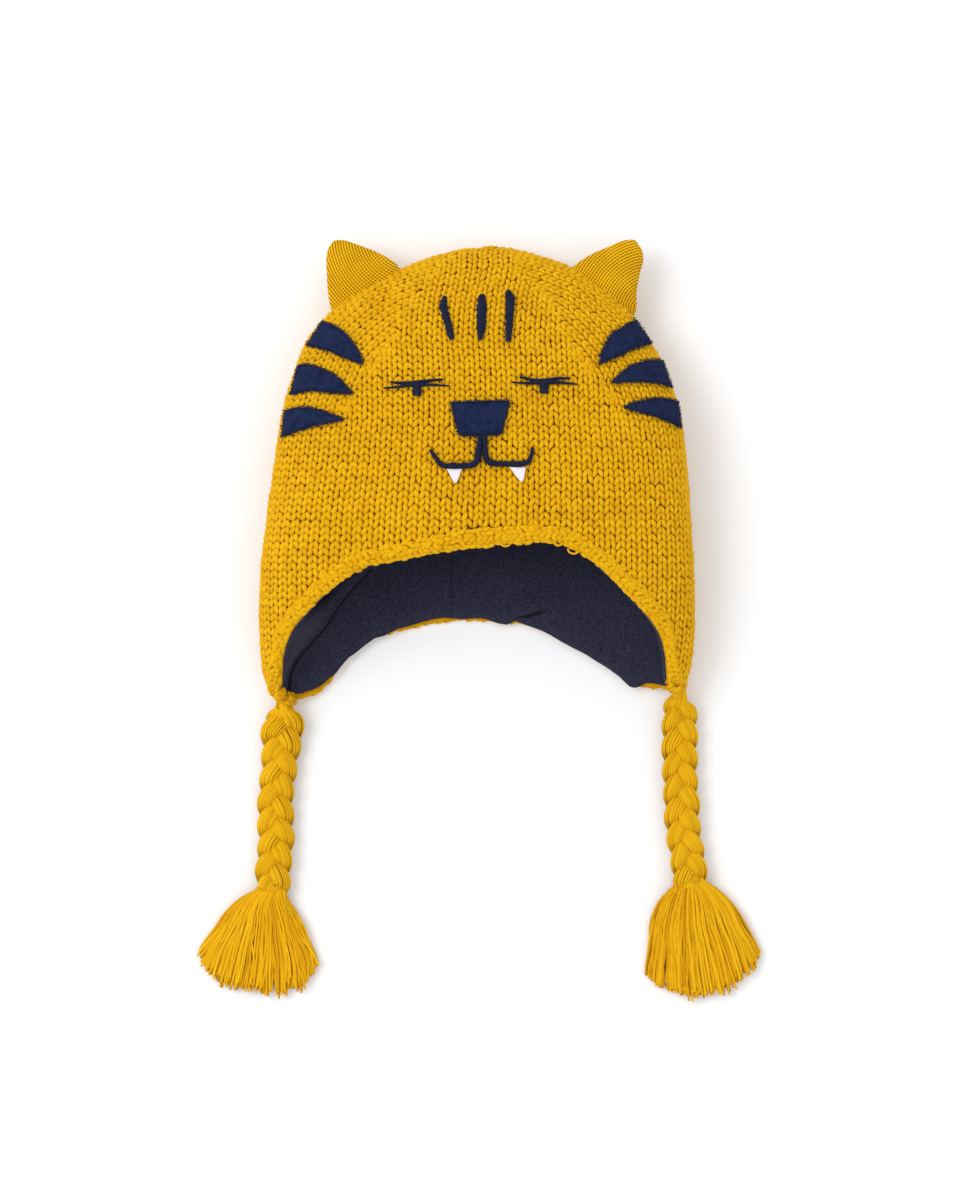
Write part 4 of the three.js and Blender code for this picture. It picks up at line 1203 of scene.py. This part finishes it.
LOOSE_YARN = 0.5
LOOSE_LOOPS = [
    # x, y, width and drop of a loop of yarn that has come out of the front edge
    (13.5, -37.0, 4.5, 1.6), (39.5, -36.8, 4.0, 1.4), (47.0, -40.0, 5.5, 2.2),
]


def loose_loop(x, y, wide, drop):
    turn = np.linspace(-0.2, math.pi + 0.2, 12)
    across, down = wide / 2 * np.cos(turn), drop * np.sin(turn)
    height = face_height(x + across, y - down, "front") + 0.6 - 1.2 * np.cos(2 * turn).clip(0, 1)
    return np.stack([x + across, y - down, height], axis=1)


laid_yarns("loose_edge_loops", [loose_loop(*row) for row in LOOSE_LOOPS], LOOSE_YARN, 6, tassel_finish,
           "knit_yarn", "rim_band")


# Fleece lining, with a soft crease on the left and a wrinkle on the right

LINING_OUT = 3.4
LINING_IN = 5.2
FOLD_ROWS = 60
WRINKLE_ROWS = 40
FOLD_STEPS = 12
FOLD_THICKNESS = 1.3
CREASE = [
    (-50, -44), (-55, -50), (-64, -59.5), (-71, -68.5), (-77.5, -78.5), (-85, -87), (-91.5, -95),
    (-95, -102.5), (-96, -112),
]
WRINKLE = [(18, -74.2), (20.3, -72.4), (25.3, -70.4), (31, -68.8), (38, -68)]
LIP = np.array([
    # how far past its crest a fold of fleece reaches, its height as a share, and how much painted shade it
    # has there
    (0.5, 0.94, 0.0), (0.9, 0.72, 0.25), (1.1, 0.4, 0.7), (1.3, 0.12, 1.0), (2.1, 0.03, 0.8),
    (3.4, -0.3, 0.0),
])
LINING_EDGE = np.array([
    # degrees round the hat, and how far in from the knitted edge the fleece ends
    (0, 2.0), (30, 1.2), (150, 1.2), (190, 2.4), (216, 3.4), (231, 3.0), (239, 0), (243, -1.0), (252, -1.0),
    (256, 1.6), (266, 2.4), (269, 0.8), (270.2, 1.4), (271.2, -0.2), (272, -1.0), (273.3, -1.0), (274.2, 1.0),
    (275, 1.2), (275.8, -0.6), (317, -0.8), (321, 2.4), (327, 2.6), (335, 1.6), (360, 2.0),
])


def fullness(points):
    """How far the loose fleece stands up from its place."""
    x, y, z = points[..., 0], points[..., 1], points[..., 2]
    waves = 0.5 * np.sin(x / 13 + 1.3) * np.sin(y / 11) + 0.3 * np.sin((x + y) / 7.0)
    return waves * (1 - smooth(z, 14, 26))


def lining():
    """The fleece all round the inside, which rolls over parts of the back's edge."""
    crown = (np.linspace(0, 1, 56) ** 1.5)[:, None]
    edge = in_from_rim(angles, value_at(LINING_EDGE, np.degrees(angles) % 360))[None, :]
    inner = rings(LINING_IN, edge, crown)
    inner[..., 2] += fullness(inner)
    wall_piece("fleece_inside", rings(LINING_OUT, edge, crown), inner, fleece, "fleece_lining")


def lining_height(places):
    """Height of the loose fleece on the back over places in plan."""
    height = np.maximum(face_height(places[:, 0], places[:, 1], "back", LINING_IN), LINING_IN)
    return height + fullness(np.concatenate([places, height[:, None]], axis=1))


def fleece_fold(name, start, crest, lift, reach, swell, shade):
    """Fleece that rises from a line of places to a crest, and drops beyond it to the lining below, with
    painted shade in the crease past the crest.
    """
    rows = len(crest)
    ahead = unit(np.gradient(crest, axis=0))
    away = np.stack([-ahead[:, 1], ahead[:, 0]], axis=1)
    away *= np.sign(np.sum(away * (crest - start[:, :2])))
    floor_z = lining_height(crest)
    top = np.concatenate([crest, (floor_z + lift)[:, None]], axis=1)
    share = np.linspace(0, 1, FOLD_STEPS)[None, :, None]
    rise = start[:, None, :] * (1 - share) + top[:, None, :] * share
    rise[..., 2] += swell * np.sin(np.pi * share[..., 0])
    past = crest[:, None, :] + away[:, None, :] * LIP[None, :, :1] * reach[:, None, None]
    height = floor_z[:, None] + lift[:, None] * LIP[None, :, 1]
    lip = np.concatenate([past, height[..., None]], axis=2)
    surface = np.concatenate([rise, lip], axis=1)
    # Painted shade: an even amount on the rising part, and a dark line in the crease past the crest
    dark = np.concatenate([np.full((rows, FOLD_STEPS), shade), np.tile(LIP[:, 2], (rows, 1))], axis=1)
    dark *= smooth(lift, 0, 1.2)[:, None]
    closed_sheet(name, surface, surface - UP * FOLD_THICKNESS, fleece, "fleece_lining", dark)


def left_fold():
    turn = np.radians(np.linspace(116, 172, FOLD_ROWS))
    rim = wall_point(turn, in_from_rim(turn, 2.0), 3.6)
    crest = even_line(CREASE, FOLD_ROWS) + np.array([-1.0, 0.6])
    start = rim[:, :2] + unit(rim[:, :2] - crest) * 3.5
    start = np.concatenate([start, lining_height(start)[:, None] - 0.3], axis=1)
    share = np.linspace(0, 1, FOLD_ROWS)
    start = start + (rim - start) * smooth(share, 0.3, 0.6)[:, None]
    lift = 3.0 * smooth(share, -0.1, 0.15) - 1.6 * smooth(share, 0.8, 1)
    fleece_fold("fleece_fold_left", start, crest, lift, np.ones(FOLD_ROWS), swell=2.6, shade=0.12)


def right_wrinkle():
    crest = even_line(WRINKLE, WRINKLE_ROWS)
    start = crest + np.array([-3.0, 9.0])
    start = np.concatenate([start, lining_height(start)[:, None] - 0.6], axis=1)
    share = np.linspace(0, 1, WRINKLE_ROWS)
    lift = 2.2 * (0.7 + 0.3 * smooth(share, 0, 0.2)) * (1 - smooth(share, 0.35, 1)) + 0.05
    reach = 0.5 + 1.1 * smooth(share, 0, 0.35)
    fleece_fold("fleece_wrinkle_right", start, crest, lift, reach, swell=0.3, shade=0.0)


lining()
left_fold()
right_wrinkle()


# Padded ears of fine knit

EAR_Z = 20.0
EAR_ROWS = 44
EAR_SIDES = 64
EAR_WALE = 1.38
EAR_COURSE = 1.45
EAR_UP = {"left": (-0.64, 0.77), "right": (0.64, 0.77)}
EAR_TURNS = {"left": (-35, 118), "right": (87, 79)}  # the wales run in arcs round these places
EARS = {
    # the two edges of each cross-section from the base to the tip, and its thickness
    "left": [
        (-72.2, 76.8, -36.7, 97.5, 12), (-74, 82, -41.8, 104.2, 12), (-75.3, 90, -49.6, 108.9, 11),
        (-75.8, 99, -56.2, 111.6, 10), (-76, 105.5, -62, 113.7, 8.5), (-75.4, 110.2, -66, 115.1, 6.5),
        (-73.8, 113.3, -70, 115.5, 4),
    ],
    "right": [
        (76.6, 74.5, 45, 98.6, 12), (79.3, 80.5, 50, 104, 12), (79.5, 89.5, 58, 108.9, 11),
        (81, 98, 64, 111.5, 10), (82.8, 105, 69.5, 113.9, 8.5), (82.3, 110, 73.3, 115.2, 6.5),
        (80.2, 113.6, 76.8, 115.7, 4),
    ],
}


def map_stitches(piece, side, plan):
    """UV map of the fine knit, in wales and courses."""
    across = np.linalg.norm(plan - EAR_TURNS[side], axis=2) / EAR_WALE
    risen = (plan - plan[0, 0]) @ np.array(EAR_UP[side])
    grid = np.stack([across, risen / EAR_COURSE], axis=2).reshape(-1, 2)
    grid = np.concatenate([grid, [grid[0], grid[-1]]])
    layer = piece.data.uv_layers.new(name="stitches")
    for loop in piece.data.loops:
        layer.data[loop.index].uv = grid[loop.vertex_index]


def ear(side, rows):
    """Closed padded form, its seam all along the outline."""
    form = spline(rows, EAR_ROWS)
    outer, inner, thick = form[:, None, :2], form[:, None, 2:4], form[:, 4:]
    around = TURN * np.arange(EAR_SIDES) / EAR_SIDES
    share = (0.5 - 0.5 * np.cos(around))[None, :, None]
    plan = outer * (1 - share) + inner * share
    height = EAR_Z + thick / 2 * (np.sign(np.sin(around)) * np.abs(np.sin(around)) ** 0.9)
    points = np.concatenate([plan, height[..., None]], axis=2)
    tip = points[-1].mean(axis=0) + np.append(unit((plan[-1] - plan[-4]).mean(axis=0)), 0) * 0.8
    flat = np.concatenate([points.reshape(-1, 3), [points[0].mean(axis=0), tip]])
    faces = grid_faces(EAR_ROWS, EAR_SIDES, True)
    last = (EAR_ROWS - 1) * EAR_SIDES
    for j in range(EAR_SIDES):
        k = (j + 1) % EAR_SIDES
        faces += [[j, k, len(flat) - 2], [last + k, last + j, len(flat) - 1]]
    piece = new_piece(f"padded_ear_{side}", flat, faces, ear_finish, f"ear_{side}")
    map_stitches(piece, side, plan)
    weld(piece)


for word, rows in EARS.items():
    ear(word, rows)


# Felt patches of the face, sewn down with dark thread

FELT_LIFT = 0.9
FELT = 1.1
EDGE_SUNK = (0.55, 0.12)
THREAD_JITTER = 0.09
EDGING_PITCH = 0.6
EDGING_WIDTH = 1.5
CHEEKS = {
    # from the outer end to the tip, a point of the upper edge and one of the lower
    "left_1": [(-77, 73, -84.5, 61.5), (-71, 70.5, -73, 58), (-64.5, 65.5, -64.5, 54),
               (-59.5, 58.5, -60, 52.5), (-56.5, 51.5, -56.5, 51.5)],
    "left_2": [(-88.5, 51.5, -92.5, 37), (-82, 51, -81.5, 38.5), (-73.5, 47.5, -73.5, 37.5),
               (-67.5, 43.5, -67.5, 37), (-61.5, 36.5, -61.5, 36.5)],
    "left_3": [(-95, 29, -96.5, 16), (-85, 30, -83, 20.5), (-75.5, 28, -75, 22), (-66, 24, -66, 24)],
    "right_1": [(78, 74, 85.5, 62.5), (71.5, 70, 76, 59), (66, 66, 69, 55.5), (62, 59.5, 63.5, 53),
                (59.5, 51, 59.5, 51)],
    "right_2": [(91, 54, 95.5, 40.5), (82, 53, 88, 42.5), (74.5, 50, 79.5, 43), (69, 45.5, 72, 42.5),
                (65.5, 42, 65.5, 42)],
    "right_3": [(98.5, 33.5, 100, 20.5), (91, 34.5, 93.5, 23.5), (84.5, 34, 85, 26.5), (76, 32, 78.5, 28),
                (71.5, 30, 71.5, 30)],
}
NOSE = [(-13.2, 31.8, -9.8, 17.6), (-9, 32.2, -7.2, 15.8), (10.5, 32.8, 9.6, 16.2), (15.4, 32.8, 11.6, 17.8)]
FANGS = {
    "left": [(-15.4, -0.7, -15.2, -1), (-11, -0.7, -11, -7.7), (-7.7, -0.7, -7.9, -1)],
    "right": [(15.4, 0.2, 15.6, -0.1), (21.3, 0.2, 21.5, -7.1), (23.6, 0.2, 23.4, -0.1)],
}


def felt_patch(name, rows, material, node, columns=30, across=12):
    """Flat felt with a soft rounded edge, which follows the knit, with its outline in plan and its top."""
    form = spline(rows, columns)[:, None, :]
    share = np.linspace(0, 1, across)[None, :, None]
    plan = form[..., :2] * (1 - share) + form[..., 2:] * share
    i, j = np.arange(columns)[:, None], np.arange(across)[None, :]
    rim = np.minimum(np.minimum(i, columns - 1 - i), np.minimum(j, across - 1 - j))
    sunk = np.where(rim == 0, EDGE_SUNK[0], np.where(rim == 1, EDGE_SUNK[1], 0.0))
    top, _ = face_point(plan, FELT_LIFT + FELT - sunk)
    under, _ = face_point(plan, np.full(sunk.shape, FELT_LIFT))
    piece, edge = closed_sheet(name, top, under, material, node)
    return piece, np.array([plan[place] for place in edge]), top


def lay_flat(patch, top):
    """Measures the length and the width of a felt patch's top along its surface, and does nothing more with
    them.
    """
    long = np.linalg.norm(np.diff(top, axis=0), axis=2).sum(axis=0).max() * MM
    wide = np.linalg.norm(np.diff(top, axis=1), axis=2).sum(axis=1).max() * MM


def closed_outline(ring):
    """Places of edge stitches round a patch, with the direction and the width of the edging there."""
    ring = np.concatenate([ring, ring[:1]])
    way = arc_lengths(ring)
    at = np.arange(0, way[-1], EDGING_PITCH)
    line, after, before = (points_at(ring, way, (at + step) % way[-1]) for step in (0, 0.8, -0.8))
    return line, after - before, np.full(len(at), EDGING_WIDTH)


def navy_patch(name, rows, node):
    """A navy felt patch laid on the knit, and the line of its edging."""
    patch, ring, top = felt_patch(name, rows, navy_felt, node)
    lay_flat(patch, top)
    return closed_outline(ring)


def satin_line(points, pitch):
    """Even places along a line, with the direction and the width of the line there."""
    fine = spline(points, 40 * len(points))
    way = arc_lengths(fine[:, :2])
    line = points_at(fine, way, np.arange(0, way[-1], pitch))
    return line[:, :2], np.gradient(line[:, :2], axis=0), line[:, 2]


def satin_piece(name, lines, node=None, lift=FELT_LIFT, rise=1.2, thickness=0.3, jag=0.0):
    """Satin stitches across several lines on the front of the hat, as one mesh."""
    centre, ahead, width = (np.concatenate(parts) for parts in zip(*lines))
    count = len(centre)
    if jag:
        beside = np.stack([-ahead[:, 1], ahead[:, 0]], axis=1)
        centre = centre + unit(beside) * random.normal(0, jag, (count, 1))
    spots, outward = face_point(centre, np.full(count, lift))
    flat = np.concatenate([unit(ahead), np.zeros((count, 1))], axis=1)
    along = unit(flat - outward * np.sum(flat * outward, axis=1, keepdims=True))
    size = np.stack([width, np.ones(count), np.full(count, rise)], axis=1)
    size = size * (1 + random.normal(0, THREAD_JITTER, size.shape))
    attributes = {"along": along, "outward": outward, "size": size, "tone": random.random(count)}
    with_geometry(name, spots, attributes, satin, thread, "navy_thread", node, Thread=thickness * MM)


edgings = [navy_patch(f"cheek_felt_{word}", rows, f"cheek_stripe_{word}")
           for word, rows in CHEEKS.items()]
edgings.append(navy_patch("nose_felt", NOSE, "nose_patch"))
for word, rows in FANGS.items():
    felt_patch(f"fang_felt_{word}", rows, white_felt, f"fang_{word}", columns=14, across=8)
satin_piece("patch_edging", edgings, lift=FELT_LIFT + 0.25, rise=0.75, thickness=0.24, jag=0.3)


# Embroidery of the face

SATIN_PITCH = 0.4
FINE_PITCH = 0.3
FOREHEAD_BARS = [
    # x, y and width of each line, here and in the eyes and the mouth
    [(-16.3, 84.6, 1.9), (-17, 80, 3.1), (-14.5, 70, 2.8), (-12.8, 63.2, 2.1)],
    [(1.8, 85.4, 2.4), (1.8, 79, 3.9), (1.6, 69, 3.3), (1.3, 64.8, 2.2), (1.3, 63, 1.2)],
    [(14.6, 87.6, 2.2), (16, 83.5, 3.7), (15.6, 76, 3.0), (15.4, 69, 2.9), (14.8, 62.2, 2.1)],
]
EYES = {
    "left": [
        [(-42.7, 42.1, 0.9), (-35.8, 41.7, 1.5), (-29.9, 42.1, 1.6), (-23.6, 43, 1.3), (-17.2, 43.4, 0.9)],
        [(-46.2, 39.2, 0.6), (-38.3, 39.9, 1.2), (-33.4, 40.9, 1.8), (-28.5, 40.9, 1.8), (-23.6, 40.8, 1.3),
         (-14.2, 40.2, 0.6)],
        [(-29.9, 41.4, 2.8), (-29.9, 39.5, 3.2), (-29.9, 37.6, 4.2), (-29.9, 35.2, 3)],
    ],
    "right": [
        [(20.7, 44.6, 0.9), (28.5, 43, 1.5), (34.9, 43.3, 1.6), (38.8, 44, 1.3), (45.2, 44.1, 0.9)],
        [(16.7, 41.9, 0.6), (24.6, 41.6, 1.2), (29.5, 42.1, 1.8), (35.4, 42.1, 1.8), (40.3, 42, 1.3),
         (48.7, 41.1, 0.6)],
        [(32.4, 42.5, 3), (32.4, 40.5, 3.8), (32.4, 38.4, 3.6), (32.4, 36.2, 3)],
    ],
}
MOUTH = [
    [(1.2, 14.9, 2.3), (0.4, 8.7, 2.6), (-0.2, 4.3, 2.8), (-2, 1.6, 2.6), (-6, 0.9, 2.4), (-12.8, 0.9, 2.3),
     (-16.7, 0.8, 2.2), (-19.2, 2.4, 2), (-20.8, 4.9, 1.8), (-23.4, 8.7, 1.6)],
    [(3.2, 14.9, 2.3), (3.4, 10.2, 2.4), (3.9, 5, 2.5), (5.7, 2.5, 2.5), (8.6, 1.9, 2.4), (14.8, 1.8, 2.3),
     (21.6, 1.8, 2.2), (25, 3.3, 2), (26.2, 6, 1.7), (26.8, 9.7, 1.5)],
]

for number, rows in enumerate(FOREHEAD_BARS, 1):
    bar = [satin_line(rows, SATIN_PITCH)]
    satin_piece(f"forehead_satin_{number}", bar, f"forehead_bar_{number}", jag=0.16)
for word, lines in EYES.items():
    lines = [satin_line(rows, FINE_PITCH) for rows in lines]
    satin_piece(f"eye_satin_{word}", lines, f"eye_{word}", rise=1.1, thickness=0.26)
smile = [satin_line(rows, SATIN_PITCH) for rows in MOUTH]
satin_piece("mouth_satin", smile, "mouth", lift=FELT_LIFT + 0.3)


# Floor and light

FLOOR_HALF = 3.0
FLOOR_DROP = 0.0003
FLOOR_WHITE = (0.935, 0.95, 0.973, 1)
LIGHT_PLACE = Vector((-1.2, 0.5, 1.65))
LIGHT_AIM = Vector((0, -0.05, 0))
LIGHT_SIZE = 1.1
LIGHT_POWER = 15
SKY_STRENGTH = 0.965


def floor():
    finish = Finish("pale floor", Roughness=0.9)
    finish.paint("Base Color", FLOOR_WHITE)
    corners = [(x * FLOOR_HALF, y * FLOOR_HALF, 0) for x, y in ((-1, -1), (1, -1), (1, 1), (-1, 1))]
    mesh = bpy.data.meshes.new("floor")
    mesh.from_pydata(corners, [], [[0, 1, 2, 3]])
    mesh.materials.append(finish.material)
    ground = added("floor", mesh)
    ground.location = (0, 0, -FLOOR_DROP)


def key_light():
    light = added("key light", bpy.data.lights.new("key light", "AREA"))
    light.data.size = LIGHT_SIZE
    light.data.energy = LIGHT_POWER
    light.location = LIGHT_PLACE
    light.rotation_euler = (LIGHT_AIM - LIGHT_PLACE).to_track_quat("-Z", "Y").to_euler()


def sky():
    world = bpy.data.worlds.new("studio")
    world.use_nodes = True
    colour, strength = world.node_tree.nodes["Background"].inputs[:2]
    colour.default_value = (1, 1, 1, 1)
    strength.default_value = SKY_STRENGTH
    bpy.context.scene.world = world


floor()
key_light()
sky()
